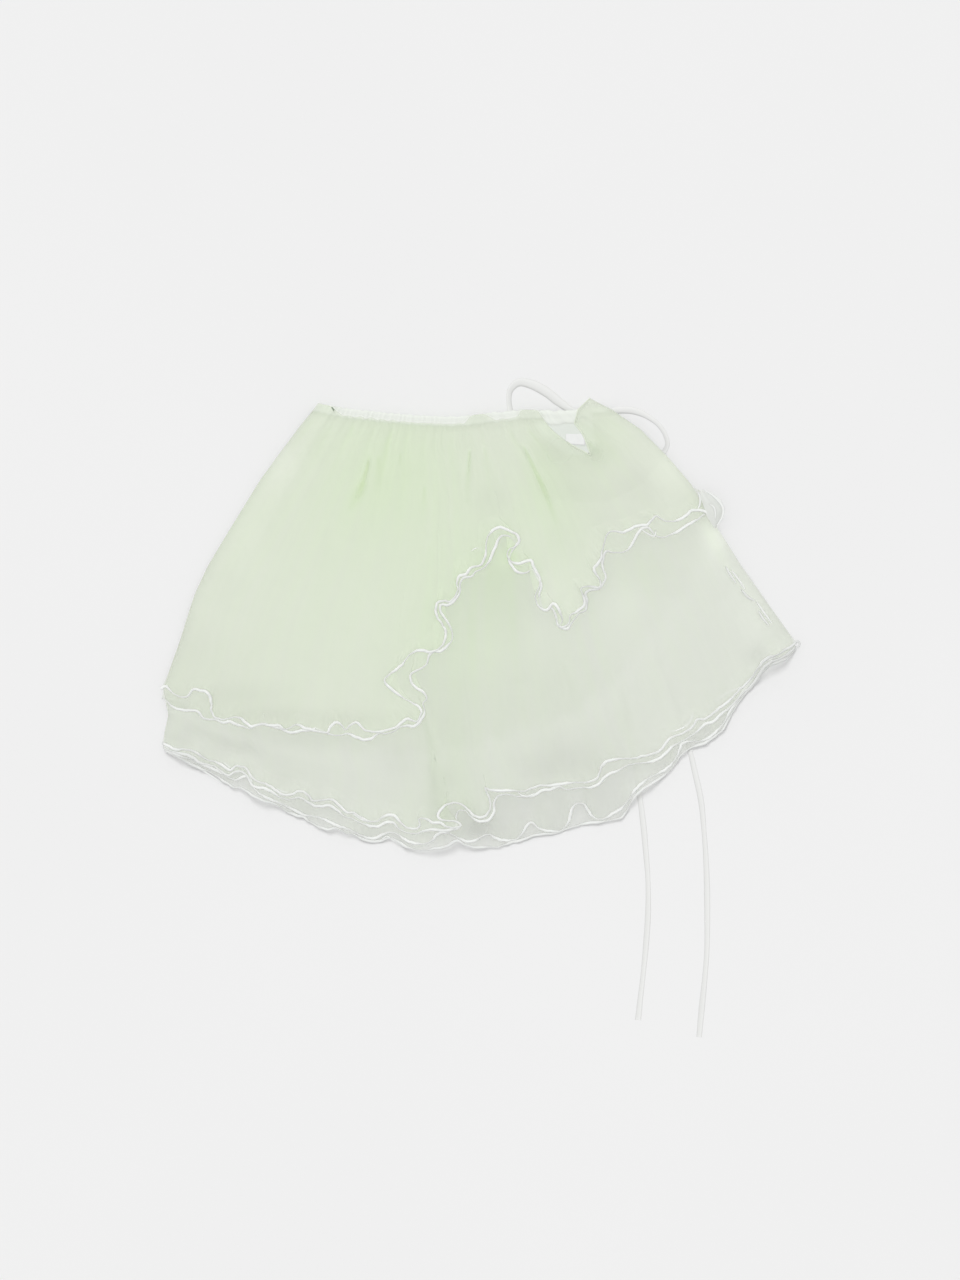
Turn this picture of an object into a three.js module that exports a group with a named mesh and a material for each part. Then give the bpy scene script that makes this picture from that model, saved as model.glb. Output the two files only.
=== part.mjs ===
import * as THREE from 'three';
import { mergeVertices } from 'three/addons/utils/BufferGeometryUtils.js';

// A two tier skirt of sheer cloth, laid flat on its back, with a tape bow behind the waist.
// All sizes are millimetres. Places in the tables are measured across and down the floor
// from a corner beyond the far left of the skirt, and the frame's origin lies under its middle.
const FRAME_ACROSS = 479.65;
const FRAME_DOWN = 625.6;

// The cloth fans out from a point above the waist. A place on it is a reach from that point
// and a share of the way from the left edge to the right edge.
const FAN_ACROSS = 436;
const FAN_DOWN = 188;
const DEGREES = Math.PI / 180;

// The cloth.
const WALL = 1.2;
const SEAM_GAP = 0.3;
const PLY_CLEAR = 0.8;
const BACK_TIER_CLEAR = 1.0;
const FRONT_TIER_CLEAR = 1.8;
const INSIDE_CLEAR = 1.6;
const EDGE_SQUEEZE = 0.07;
const OUTER_FRONT_START = 6;
const OUTER_EDGE_CLEAR = 0.3;

// The waist strip.
const BAND_DEPTH = 10;
const BAND_THICK = 5;
const BAND_PUCKER = 0.7;

// Gathers at the waist and waves at the hems.
const GATHER_HEIGHT = 1.3;
const GATHER_FADE = 80;
const UNDER_FOLD_SHARE = 0.6;
const FOLD_FULLNESS = 1.4;
const HEM_BAND = 24;
const HEM_MID = 10;
const WAVE_HEIGHT = 3.6;
const HEM_MID_LEAD = 4;
const WAVE_OVERRUN = 1.3;
const WAVE_SWELLS = 5;
const WAVE_UNEVEN = 0.25;
const STEEP_START = 1.4;
const STEEP_RUN = 20;
const STEEP_WINDOW = 0.016;
const STEEP_LEAST = 0.12;
const OUTER_WAVES = 31;
const UNDER_WAVES = 22;
const HIDDEN_WAVES = 17;
const WAVE_SIDE = 2.2;
const HIDDEN_SIDE = 2.0;
const HEM_RISE_LEAD = 3;
const BACKING_LEAD = 3;

// Columns of the cloth, and the yoke line that every front ply shares.
const YOKE_PART = 0.21;
const HALF_WAY = 0.5;
const EVEN_COLUMNS = 25;
const EVEN_END = 0.826;
const FINE_COLUMNS = 124;
const UNDER_FINE_COLUMNS = 93;
const OPENING_COLUMNS = [0.834, 0.85, 0.858, 0.88, 0.893, 0.915, 0.94, 0.97, 1];

// The tape and its bow.
const TAPE_WIDTH = 6;
const TAPE_THICK = 1;
const KNOT_HALF = { across: 7, down: 7, up: 1.3 };
const KNOT = { across: 587, down: 420 };
const TAPE_STEP = 14;
const LOOP_FINENESS = 1.8;
const TAPE_SHELTER = 26;
const KNOT_SHELTER = 62;
const SHELTER_SLOPE = 40;

// The label.
const LABEL_THICK = 0.8;

// Turn of the side edges, in degrees from straight down, at each reach.
const LEFT_EDGE = [
  { reach: 247, turn: -28.5 },
  { reach: 275, turn: -29.6 },
  { reach: 310, turn: -30.4 },
  { reach: 341, turn: -30.9 },
  { reach: 402, turn: -31.0 },
  { reach: 441, turn: -31.0 },
  { reach: 472, turn: -30.6 },
  { reach: 519, turn: -29.4 },
  { reach: 570, turn: -28.5 },
  { reach: 590, turn: -26.9 },
  { reach: 620, turn: -26.2 },
  { reach: 650, turn: -26.0 },
];
const RIGHT_EDGE = [
  { reach: 261, turn: 36.0 },
  { reach: 284, turn: 38.3 },
  { reach: 316, turn: 40.1 },
  { reach: 352, turn: 40.6 },
  { reach: 391, turn: 40.6 },
  { reach: 437, turn: 39.6 },
  { reach: 484, turn: 38.9 },
  { reach: 536, turn: 38.55 },
  { reach: 582, turn: 38.3 },
  { reach: 650, turn: 38.0 },
];

// The top edge of the waist strip, and the edge of the cloth round the opening and the flap.
const WAIST_LINE = [
  { across: 318, down: 405 },
  { across: 337, down: 409 },
  { across: 370, down: 413 },
  { across: 400, down: 416 },
  { across: 430, down: 418 },
  { across: 490, down: 415 },
  { across: 520, down: 412 },
  { across: 545, down: 412 },
  { across: 583, down: 410 },
  { across: 600, down: 408 },
];
const OPENING_EDGE = [
  { share: 0.826, reach: 262 },
  { share: 0.834, reach: 288 },
  { share: 0.85, reach: 301 },
  { share: 0.858, reach: 310 },
  { share: 0.88, reach: 291 },
  { share: 0.893, reach: 274 },
  { share: 0.94, reach: 264 },
  { share: 1, reach: 261 },
];

// Hems, from the left edge to the right edge.
const OUTER_FACE_HEM = [
  { across: 166, down: 686 },
  { across: 184, down: 697 },
  { across: 205, down: 692 },
  { across: 214, down: 702 },
  { across: 222, down: 716 },
  { across: 270, down: 722 },
  { across: 296, down: 728 },
  { across: 329, down: 727 },
  { across: 367, down: 733 },
  { across: 398, down: 728 },
  { across: 412, down: 719 },
  { across: 421, down: 700 },
  { across: 429, down: 664 },
  { across: 444, down: 639 },
  { across: 450, down: 606 },
  { across: 460, down: 576 },
  { across: 480, down: 564 },
  { across: 491, down: 537 },
  { across: 501, down: 528 },
  { across: 515, down: 535 },
  { across: 523, down: 562 },
  { across: 535, down: 572 },
  { across: 541, down: 596 },
  { across: 554, down: 608 },
  { across: 566, down: 625 },
  { across: 582, down: 607 },
  { across: 590, down: 588 },
  { across: 602, down: 574 },
  { across: 606, down: 540 },
  { across: 622, down: 533 },
  { across: 644, down: 527 },
  { across: 656, down: 519 },
  { across: 679, down: 519 },
  { across: 692, down: 509 },
  { across: 709, down: 508 },
];
const OUTER_BACKING_HEM = [
  { across: 168, down: 700 },
  { across: 181, down: 708 },
  { across: 204, down: 717 },
  { across: 233, down: 721 },
  { across: 253, down: 727 },
  { across: 296, down: 732 },
  { across: 329, down: 735 },
  { across: 367, down: 741 },
  { across: 402, down: 735 },
  { across: 420, down: 722 },
  { across: 425, down: 698 },
  { across: 436, down: 668 },
  { across: 452, down: 645 },
  { across: 458, down: 604 },
  { across: 468, down: 586 },
  { across: 487, down: 570 },
  { across: 495, down: 551 },
  { across: 505, down: 541 },
  { across: 516, down: 549 },
  { across: 519, down: 566 },
  { across: 533, down: 582 },
  { across: 538, down: 604 },
  { across: 553, down: 618 },
  { across: 568, down: 633 },
  { across: 588, down: 610 },
  { across: 604, down: 586 },
  { across: 606, down: 553 },
  { across: 633, down: 546 },
  { across: 649, down: 536 },
  { across: 679, down: 531 },
  { across: 696, down: 522 },
  { across: 712, down: 520 },
];
const UNDER_FACE_HEM = [
  { across: 164, down: 741 },
  { across: 185, down: 749 },
  { across: 205, down: 759 },
  { across: 233, down: 769 },
  { across: 257, down: 778 },
  { across: 290, down: 790 },
  { across: 326, down: 802 },
  { across: 350, down: 812 },
  { across: 383, down: 818 },
  { across: 404, down: 824 },
  { across: 420, down: 818 },
  { across: 440, down: 812 },
  { across: 458, down: 804 },
  { across: 478, down: 812 },
  { across: 488, down: 800 },
  { across: 507, down: 790 },
  { across: 534, down: 787 },
  { across: 558, down: 782 },
  { across: 585, down: 778 },
  { across: 601, down: 764 },
  { across: 622, down: 756 },
  { across: 640, down: 753 },
  { across: 654, down: 747 },
  { across: 668, down: 737 },
  { across: 689, down: 724 },
  { across: 703, down: 715 },
  { across: 721, down: 702 },
  { across: 740, down: 687 },
  { across: 764, down: 663 },
  { across: 783, down: 651 },
  { across: 793, down: 641 },
];
const UNDER_BACKING_HEM = [
  { across: 163, down: 747 },
  { across: 190, down: 755 },
  { across: 205, down: 763 },
  { across: 233, down: 775 },
  { across: 257, down: 784 },
  { across: 290, down: 796 },
  { across: 326, down: 808 },
  { across: 350, down: 818 },
  { across: 383, down: 824 },
  { across: 415, down: 830 },
  { across: 440, down: 826 },
  { across: 461, down: 826 },
  { across: 488, down: 812 },
  { across: 508, down: 799 },
  { across: 534, down: 794 },
  { across: 558, down: 790 },
  { across: 585, down: 785 },
  { across: 602, down: 772 },
  { across: 636, down: 761 },
  { across: 656, down: 754 },
  { across: 674, down: 744 },
  { across: 689, down: 731 },
  { across: 705, down: 722 },
  { across: 721, down: 708 },
  { across: 745, down: 690 },
  { across: 768, down: 667 },
  { across: 785, down: 655 },
  { across: 794, down: 643 },
];
const BACK_FACE_HEM = [
  { across: 165, down: 745 },
  { across: 190, down: 763 },
  { across: 222, down: 777 },
  { across: 244, down: 789 },
  { across: 268, down: 800 },
  { across: 296, down: 810 },
  { across: 324, down: 824 },
  { across: 352, down: 832 },
  { across: 383, down: 833 },
  { across: 413, down: 843 },
  { across: 440, down: 840 },
  { across: 467, down: 846 },
  { across: 500, down: 843 },
  { across: 526, down: 835 },
  { across: 561, down: 830 },
  { across: 575, down: 818 },
  { across: 593, down: 820 },
  { across: 622, down: 816 },
  { across: 633, down: 796 },
  { across: 652, down: 783 },
  { across: 670, down: 770 },
  { across: 681, down: 752 },
  { across: 705, down: 738 },
  { across: 722, down: 720 },
  { across: 745, down: 697 },
  { across: 770, down: 673 },
  { across: 783, down: 658 },
  { across: 794, down: 645 },
];

// How much farther the second back ply reaches than the first, and where the hidden hem lies.
const BACK_BACKING_EXTRA = 5;
const HIDDEN_HEM = [
  { share: 0, reach: 583 },
  { share: 0.22, reach: 578 },
  { share: 0.4, reach: 566 },
  { share: 0.5, reach: 560 },
  { share: 0.68, reach: 540 },
  { share: 0.83, reach: 490 },
  { share: 1, reach: 448 },
];
const HIDDEN_BACKING_LESS = 7;

// Main folds of the front: where they stand, from which reach to which, and how high.
const FOLDS = [
  { share: 0.18, from: 250, to: 300, height: 1.4 },
  { share: 0.264, from: 250, to: 345, height: 3.0 },
  { share: 0.38, from: 240, to: 300, height: 1.2 },
  { share: 0.43, from: 260, to: 420, height: 0.9 },
  { share: 0.53, from: 236, to: 330, height: 2.8 },
  { share: 0.595, from: 240, to: 330, height: 1.4 },
  { share: 0.694, from: 262, to: 400, height: 2.6 },
  { share: 0.76, from: 300, to: 420, height: 2.4 },
  { share: 0.834, from: 262, to: 380, height: 2.2 },
  { share: 0.88, from: 262, to: 390, height: 2.4 },
  { share: 0.915, from: 255, to: 360, height: 1.6 },
  { share: 0.43, from: 500, to: 640, height: 4.2 },
  { share: 0.694, from: 450, to: 585, height: 2.6 },
  { share: 0.8, from: 480, to: 590, height: 2.2 },
  { share: 0.94, from: 420, to: 560, height: 2.2 },
  { share: 0.1, from: 380, to: 560, height: 1.5 },
];

// Uneven heights of the small gathers along the waist, as shares of the full height.
const GATHER_SHARES = [0.7, 1, 0.5, 0.9, 0.6, 1, 0.8];

// Centre lines of the tape.
const LOOP_LEFT_LINE = [
  { across: 579.6, down: 416.8 },
  { across: 570, down: 411 },
  { across: 558, down: 401.5 },
  { across: 548, down: 392.5 },
  { across: 533, down: 383.5 },
  { across: 518, down: 383 },
  { across: 510, down: 391 },
  { across: 508.5, down: 403 },
  { across: 513, down: 416 },
  { across: 530, down: 424 },
  { across: 555, down: 426 },
  { across: 579.6, down: 423.4 },
];
const LOOP_RIGHT_LINE = [
  { across: 594.4, down: 416.8 },
  { across: 606, down: 416 },
  { across: 618, down: 412.5 },
  { across: 628, down: 410.5 },
  { across: 639, down: 413.5 },
  { across: 648, down: 418 },
  { across: 656, down: 423.5 },
  { across: 662, down: 430 },
  { across: 666, down: 438 },
  { across: 666.5, down: 446 },
  { across: 662, down: 452.5 },
  { across: 654, down: 453 },
  { across: 638, down: 444 },
  { across: 618, down: 432 },
  { across: 606, down: 425.5 },
  { across: 594.4, down: 423.4 },
];
const TAIL_LEFT_LINE = [
  { across: 584, down: 428.3 },
  { across: 590, down: 470 },
  { across: 602, down: 540 },
  { across: 615, down: 610 },
  { across: 625, down: 690 },
  { across: 634, down: 759 },
  { across: 639, down: 792 },
  { across: 643, down: 822 },
  { across: 646, down: 854 },
  { across: 648, down: 883 },
  { across: 648, down: 913 },
  { across: 646, down: 944 },
  { across: 643, down: 975 },
  { across: 640, down: 1001 },
  { across: 638, down: 1020 },
];
const TAIL_RIGHT_LINE = [
  { across: 590.6, down: 428.3 },
  { across: 604, down: 470 },
  { across: 626, down: 540 },
  { across: 650, down: 620 },
  { across: 672, down: 690 },
  { across: 688, down: 744 },
  { across: 695, down: 773 },
  { across: 701, down: 801 },
  { across: 704, down: 832 },
  { across: 706, down: 862 },
  { across: 707, down: 895 },
  { across: 707, down: 944 },
  { across: 705, down: 975 },
  { across: 702, down: 1005 },
  { across: 699, down: 1037 },
];

function between(start, end, part) {
  return start + (end - start) * part;
}

function clamp(value, low, high) {
  return Math.min(high, Math.max(low, value));
}

// The value of a table's row at a place between two rows.
function readTable(table, key, wanted, name) {
  if (wanted <= table[0][key]) {
    return table[0][name];
  }
  for (let row = 1; row < table.length; row += 1) {
    if (wanted <= table[row][key]) {
      const part = (wanted - table[row - 1][key]) / (table[row][key] - table[row - 1][key]);
      return between(table[row - 1][name], table[row][name], part);
    }
  }
  return table[table.length - 1][name];
}

function edgeTurns(reach) {
  const left = readTable(LEFT_EDGE, 'reach', reach, 'turn');
  const right = readTable(RIGHT_EDGE, 'reach', reach, 'turn');
  return { left, right };
}

// Where a share and a reach lie on the floor, in the frame's millimetres.
function place(share, reach) {
  const turns = edgeTurns(reach);
  const turn = between(turns.left, turns.right, share) * DEGREES;
  const across = FAN_ACROSS + reach * Math.sin(turn);
  const down = FAN_DOWN + reach * Math.cos(turn);
  return { x: across - FRAME_ACROSS, y: FRAME_DOWN - down };
}

// The share and the reach of a place given across and down.
function chart(across, down) {
  const side = across - FAN_ACROSS;
  const drop = down - FAN_DOWN;
  const reach = Math.hypot(side, drop);
  const turns = edgeTurns(reach);
  const turn = Math.atan2(side, drop) / DEGREES;
  return { share: (turn - turns.left) / (turns.right - turns.left), reach };
}

// A hem or waist table turned into shares and reaches that run from the left to the right.
function chartTable(points) {
  const rows = [];
  for (const point of points) {
    const row = chart(point.across, point.down);
    row.share = clamp(row.share, 0, 1);
    const last = rows[rows.length - 1];
    if (!last || row.share > last.share + 0.001) {
      rows.push(row);
    }
  }
  return rows;
}

const WAIST = chartTable(WAIST_LINE);
const OUTER_FACE = chartTable(OUTER_FACE_HEM);
const OUTER_BACKING = chartTable(OUTER_BACKING_HEM);
const UNDER_FACE = chartTable(UNDER_FACE_HEM);
const UNDER_BACKING = chartTable(UNDER_BACKING_HEM);
const BACK_FACE = chartTable(BACK_FACE_HEM);

function reachAt(table, share) {
  return readTable(table, 'share', share, 'reach');
}

// The least reach of a hem close to a share, so that an inner row never passes the hem.
function leastReach(table, share, window) {
  const before = reachAt(table, clamp(share - window, 0, 1));
  const after = reachAt(table, clamp(share + window, 0, 1));
  return Math.min(before, reachAt(table, share), after);
}

function coarseShares() {
  const shares = [];
  for (let column = 0; column <= EVEN_COLUMNS; column += 1) {
    shares.push(EVEN_END * column / EVEN_COLUMNS);
  }
  return shares.concat(OPENING_COLUMNS);
}

const COARSE = coarseShares();

// Each column split into as many parts as its width asks for.
function fineShares(total) {
  const shares = [0];
  for (let column = 1; column < COARSE.length; column += 1) {
    const width = COARSE[column] - COARSE[column - 1];
    const parts = Math.max(1, Math.round(width * total));
    for (let part = 1; part <= parts; part += 1) {
      shares.push(between(COARSE[column - 1], COARSE[column], part / parts));
    }
  }
  return shares;
}

const OUTER_FINE = fineShares(FINE_COLUMNS);
const UNDER_FINE = fineShares(UNDER_FINE_COLUMNS);

// The layers of cloth from the floor up: how high each one's lower face lies.
function stackHeights() {
  const clears = [
    0, PLY_CLEAR, BACK_TIER_CLEAR, PLY_CLEAR, INSIDE_CLEAR, PLY_CLEAR, FRONT_TIER_CLEAR, PLY_CLEAR,
  ];
  const layers = [];
  let middle = 0;
  for (let layer = 0; layer < clears.length; layer += 1) {
    middle += layer === 0 ? 0 : WALL + clears[layer];
    const outer = layer < OUTER_FRONT_START ? 0 : OUTER_EDGE_CLEAR;
    layers.push({ edge: layer * (WALL + SEAM_GAP) + outer, middle });
  }
  return layers;
}

const STACK = stackHeights();
const LAYER = {
  outerBackFace: 0,
  outerBackBacking: 1,
  underBackFace: 2,
  underBackBacking: 3,
  underFrontBacking: 4,
  underFrontFace: 5,
  outerFrontBacking: 6,
  outerFrontFace: 7,
};

function puff(share) {
  return Math.min(1, share / EDGE_SQUEEZE, (1 - share) / EDGE_SQUEEZE);
}

function stackHeight(layer, share) {
  return between(STACK[layer].edge, STACK[layer].middle, puff(share));
}

function distanceToLine(line, across, down) {
  let nearest = Infinity;
  for (let index = 1; index < line.length; index += 1) {
    const start = line[index - 1];
    const runAcross = line[index].across - start.across;
    const runDown = line[index].down - start.down;
    const along = (across - start.across) * runAcross + (down - start.down) * runDown;
    const part = clamp(along / (runAcross ** 2 + runDown ** 2), 0, 1);
    const gapAcross = across - start.across - part * runAcross;
    const gapDown = down - start.down - part * runDown;
    nearest = Math.min(nearest, Math.hypot(gapAcross, gapDown));
  }
  return nearest;
}

// How far the cloth is held off the floor by the tape and the knot under it.
function tapeLift(share, reach) {
  const { x, y } = place(share, reach);
  const across = x + FRAME_ACROSS;
  const down = FRAME_DOWN - y;
  const lines = [LOOP_LEFT_LINE, LOOP_RIGHT_LINE, TAIL_LEFT_LINE, TAIL_RIGHT_LINE];
  const tapeGap = Math.min(...lines.map((line) => distanceToLine(line, across, down)));
  const knotGap = Math.hypot(across - KNOT.across, down - KNOT.down);
  const overTape = clamp(1 - (tapeGap - TAPE_SHELTER) / SHELTER_SLOPE, 0, 1);
  const overKnot = clamp(1 - (knotGap - KNOT_SHELTER) / SHELTER_SLOPE, 0, 1);
  const tapeRise = (TAPE_THICK + SEAM_GAP) * overTape;
  const knotRise = (2 * KNOT_HALF.up + SEAM_GAP) * overKnot;
  return Math.max(tapeRise, knotRise);
}

// The small gathers run down from the waist and fade out.
function gatherRise(share, reach) {
  const column = Math.round(share / EVEN_END * EVEN_COLUMNS);
  const crest = column % 2 === 0 ? 0 : GATHER_SHARES[column % GATHER_SHARES.length];
  const fade = clamp(1 - (reach - reachAt(WAIST, share) - BAND_DEPTH) / GATHER_FADE, 0, 1);
  return GATHER_HEIGHT * crest * fade;
}

function foldRise(share, reach) {
  const width = EVEN_END / EVEN_COLUMNS;
  let rise = 0;
  for (const fold of FOLDS) {
    const beside = clamp(1 - Math.abs(share - fold.share) / width, 0, 1);
    const middle = (fold.from + fold.to) / 2;
    const half = (fold.to - fold.from) / 2;
    const along = clamp(FOLD_FULLNESS * (1 - Math.abs(reach - middle) / half), 0, 1);
    rise = Math.max(rise, fold.height * beside * along);
  }
  return rise;
}

// How level a hem runs: its waves lie down where it turns to run along the cloth.
function evenness(tables, share) {
  const steeps = tables.map((table) => {
    const after = reachAt(table, clamp(share + STEEP_WINDOW, 0, 1));
    const before = reachAt(table, clamp(share - STEEP_WINDOW, 0, 1));
    return Math.abs(after - before);
  });
  return clamp(STEEP_START - Math.max(...steeps) / STEEP_RUN, STEEP_LEAST, 1);
}

// A hem's waves, grown from nothing at the inner edge of the hem band.
function waveRise(tables, waves, phase, share, reach) {
  const start = leastReach(tables[0], share, EVEN_END / EVEN_COLUMNS) - HEM_BAND;
  const grown = clamp((reach - start) / HEM_BAND, 0, WAVE_OVERRUN);
  const swell = Math.sin(2 * Math.PI * WAVE_SWELLS * share + phase);
  const uneven = 1 - WAVE_UNEVEN * (1 - swell);
  const wave = 0.5 - 0.5 * Math.cos(2 * Math.PI * (waves * share + phase));
  return WAVE_HEIGHT * uneven * wave * grown * evenness(tables, share);
}

// The upper layers sink to the floor past the hidden hem.
function settle(share, reach) {
  const start = reachAt(HIDDEN_HEM, share) + HEM_RISE_LEAD;
  const end = reachAt(BACK_FACE, share) - HEM_BAND;
  return stackHeight(LAYER.underBackFace, share) * clamp((reach - start) / (end - start), 0, 1);
}

// The height of a layer's lower face.
function layerHeight(layer, share, reach) {
  const calm = puff(share);
  let height = stackHeight(layer, share) + tapeLift(share, reach);
  if (layer >= LAYER.underBackFace) {
    height -= settle(share, reach);
    height += calm * waveRise([BACK_FACE], UNDER_WAVES, 0.3, share, reach);
  }
  if (layer >= LAYER.underFrontBacking) {
    const folded = gatherRise(share, reach) + foldRise(share, reach);
    height += calm * folded * (layer < LAYER.outerFrontBacking ? UNDER_FOLD_SHARE : 1);
    height += calm * waveRise([UNDER_FACE, UNDER_BACKING], UNDER_WAVES, 0.1, share, reach);
  }
  if (layer >= LAYER.outerFrontBacking) {
    height += calm * waveRise([OUTER_FACE, OUTER_BACKING], OUTER_WAVES, 0, share, reach);
  }
  return height;
}

function clothRow(layer, shares, reachOf) {
  const points = shares.map((share) => {
    const reach = reachOf(share);
    const { x, y } = place(share, reach);
    return new THREE.Vector3(x, y, layerHeight(layer, share, reach));
  });
  return { shares, points };
}

// Joins rows of points into one closed wall of a given thickness.
function wallFromRows(rows, wall) {
  const positions = [];
  const starts = [];
  let count = 0;
  for (const row of rows) {
    starts.push(count);
    count += row.points.length;
  }
  for (const rise of [wall, 0]) {
    for (const row of rows) {
      row.points.forEach((point, index) => {
        const thick = row.walls ? row.walls[index] : wall;
        positions.push(point.x, point.y, point.z + (rise > 0 ? thick : 0));
      });
    }
  }
  const faces = [];
  for (let upper = 0; upper + 1 < rows.length; upper += 1) {
    const top = rows[upper];
    const low = rows[upper + 1];
    let topColumn = 0;
    let lowColumn = 0;
    while (topColumn + 1 < top.shares.length || lowColumn + 1 < low.shares.length) {
      const topNext = top.shares[topColumn + 1] ?? Infinity;
      const lowNext = low.shares[lowColumn + 1] ?? Infinity;
      const topHere = starts[upper] + topColumn;
      const lowHere = starts[upper + 1] + lowColumn;
      if (topNext <= lowNext) {
        faces.push([topHere, lowHere, topHere + 1]);
        topColumn += 1;
      } else {
        faces.push([topHere, lowHere, lowHere + 1]);
        lowColumn += 1;
      }
    }
  }
  const index = [];
  for (const [first, second, third] of faces) {
    index.push(first, second, third);
    index.push(count + first, count + third, count + second);
  }
  const outline = [];
  const lastRow = rows.length - 1;
  for (let row = 0; row < lastRow; row += 1) {
    outline.push(starts[row]);
  }
  for (let column = 0; column + 1 < rows[lastRow].points.length; column += 1) {
    outline.push(starts[lastRow] + column);
  }
  for (let row = lastRow; row > 0; row -= 1) {
    outline.push(starts[row] + rows[row].points.length - 1);
  }
  for (let column = rows[0].points.length - 1; column > 0; column -= 1) {
    outline.push(starts[0] + column);
  }
  outline.forEach((here, step) => {
    const next = outline[(step + 1) % outline.length];
    index.push(count + here, count + next, next);
    index.push(count + here, next, here);
  });
  const geometry = new THREE.BufferGeometry();
  geometry.setAttribute('position', new THREE.Float32BufferAttribute(positions, 3));
  geometry.setIndex(index);
  geometry.computeVertexNormals();
  return geometry;
}

function waistReach(share) {
  return reachAt(WAIST, share) + BAND_DEPTH + SEAM_GAP;
}

function frontTopReach(share) {
  return share < EVEN_END ? waistReach(share) : readTable(OPENING_EDGE, 'share', share, 'reach');
}

// Part of the way from the waist to the hidden hem, the same for every long ply.
function bodyReach(part) {
  return (share) => between(waistReach(share), reachAt(HIDDEN_HEM, share), part);
}

// Half way from the front's top edge to the yoke line.
function yokeTopReach(share) {
  return between(frontTopReach(share), bodyReach(YOKE_PART)(share), HALF_WAY);
}

function settleReach(share) {
  return reachAt(HIDDEN_HEM, share) + HEM_RISE_LEAD;
}

function innerHemReach(table) {
  return (share) => leastReach(table, share, EVEN_END / EVEN_COLUMNS) - HEM_BAND;
}

function midHemReach(table) {
  return (share) => {
    const inner = leastReach(table, share, EVEN_END / EVEN_COLUMNS) - HEM_BAND;
    const middle = leastReach(table, share, 1 / FINE_COLUMNS) - HEM_MID;
    return Math.max(middle, inner + HEM_MID_LEAD);
  };
}

// A hem's own line, which sways a little with its waves and never ends above the ply over it.
function swayingHem(table, cover, waves, phase) {
  return (share) => {
    const lead = table === cover ? 0 : BACKING_LEAD;
    const reach = Math.max(reachAt(table, share), reachAt(cover, share) + lead);
    return reach + WAVE_SIDE * Math.sin(2 * Math.PI * (waves * share + phase));
  };
}

function outerFrontPly(layer, table, phase) {
  const inner = innerHemReach(OUTER_FACE);
  const yoke = bodyReach(YOKE_PART);
  const rows = [
    clothRow(layer, COARSE, frontTopReach),
    clothRow(layer, COARSE, yokeTopReach),
    clothRow(layer, COARSE, yoke),
    clothRow(layer, COARSE, (share) => between(yoke(share), inner(share), HALF_WAY)),
    clothRow(layer, COARSE, inner),
    clothRow(layer, OUTER_FINE, midHemReach(OUTER_FACE)),
  ];
  rows.push(clothRow(layer, OUTER_FINE, swayingHem(table, OUTER_FACE, OUTER_WAVES, phase)));
  return wallFromRows(rows, WALL);
}

function underFrontPly(layer, table, phase) {
  const rows = [
    clothRow(layer, COARSE, frontTopReach),
    clothRow(layer, COARSE, yokeTopReach),
    clothRow(layer, COARSE, bodyReach(YOKE_PART)),
    clothRow(layer, COARSE, bodyReach(HALF_WAY)),
    clothRow(layer, COARSE, settleReach),
    clothRow(layer, COARSE, innerHemReach(UNDER_FACE)),
    clothRow(layer, UNDER_FINE, midHemReach(UNDER_FACE)),
    clothRow(layer, UNDER_FINE, swayingHem(table, UNDER_FACE, UNDER_WAVES, phase)),
  ];
  return wallFromRows(rows, WALL);
}

function underBackPly(layer, extra, phase) {
  const sway = swayingHem(BACK_FACE, BACK_FACE, UNDER_WAVES, phase);
  const rows = [
    clothRow(layer, COARSE, waistReach),
    clothRow(layer, COARSE, bodyReach(HALF_WAY)),
    clothRow(layer, COARSE, settleReach),
    clothRow(layer, COARSE, innerHemReach(BACK_FACE)),
    clothRow(layer, UNDER_FINE, midHemReach(BACK_FACE)),
    clothRow(layer, UNDER_FINE, (share) => sway(share) + extra),
  ];
  return wallFromRows(rows, WALL);
}

function outerBackPly(layer, less, phase) {
  const hem = (share) => {
    const sway = HIDDEN_SIDE * Math.cos(2 * Math.PI * (HIDDEN_WAVES * share + phase));
    return reachAt(HIDDEN_HEM, share) - HIDDEN_SIDE - less + sway;
  };
  const rows = [
    clothRow(layer, COARSE, waistReach),
    clothRow(layer, COARSE, bodyReach(HALF_WAY)),
    clothRow(layer, COARSE, hem),
  ];
  return wallFromRows(rows, WALL);
}

// The gathered waist strip: puckers alternate along it and its two long edges lie lower.
function waistStrip(shares, floorOf, topOf, pucker) {
  const rows = [0, 0.5, 1].map((part) => {
    const walls = [];
    const points = shares.map((share, column) => {
      const reach = reachAt(WAIST, share) + BAND_DEPTH * part;
      const { x, y } = place(share, reach);
      const floor = floorOf(share, reach);
      const crest = column % 2 === 1 && part === 0.5 ? pucker : 0;
      walls.push(topOf(share, reach) + crest - floor);
      return new THREE.Vector3(x, y, floor);
    });
    return { shares, points, walls };
  });
  return wallFromRows(rows, WALL);
}

function backStrip() {
  const floorOf = (share, reach) => tapeLift(share, reach);
  const topOf = (share, reach) => {
    const front = stackHeight(LAYER.underFrontBacking, share) + tapeLift(share, reach);
    return front - SEAM_GAP;
  };
  return waistStrip(COARSE, floorOf, topOf, 0);
}

function frontStrip() {
  const shares = COARSE.filter((share) => share <= EVEN_END + 0.001);
  const floorOf = (share, reach) => {
    return stackHeight(LAYER.underFrontBacking, share) + tapeLift(share, reach);
  };
  const topOf = (share, reach) => floorOf(share, reach) + BAND_THICK;
  return waistStrip(shares, floorOf, topOf, BAND_PUCKER);
}

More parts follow.
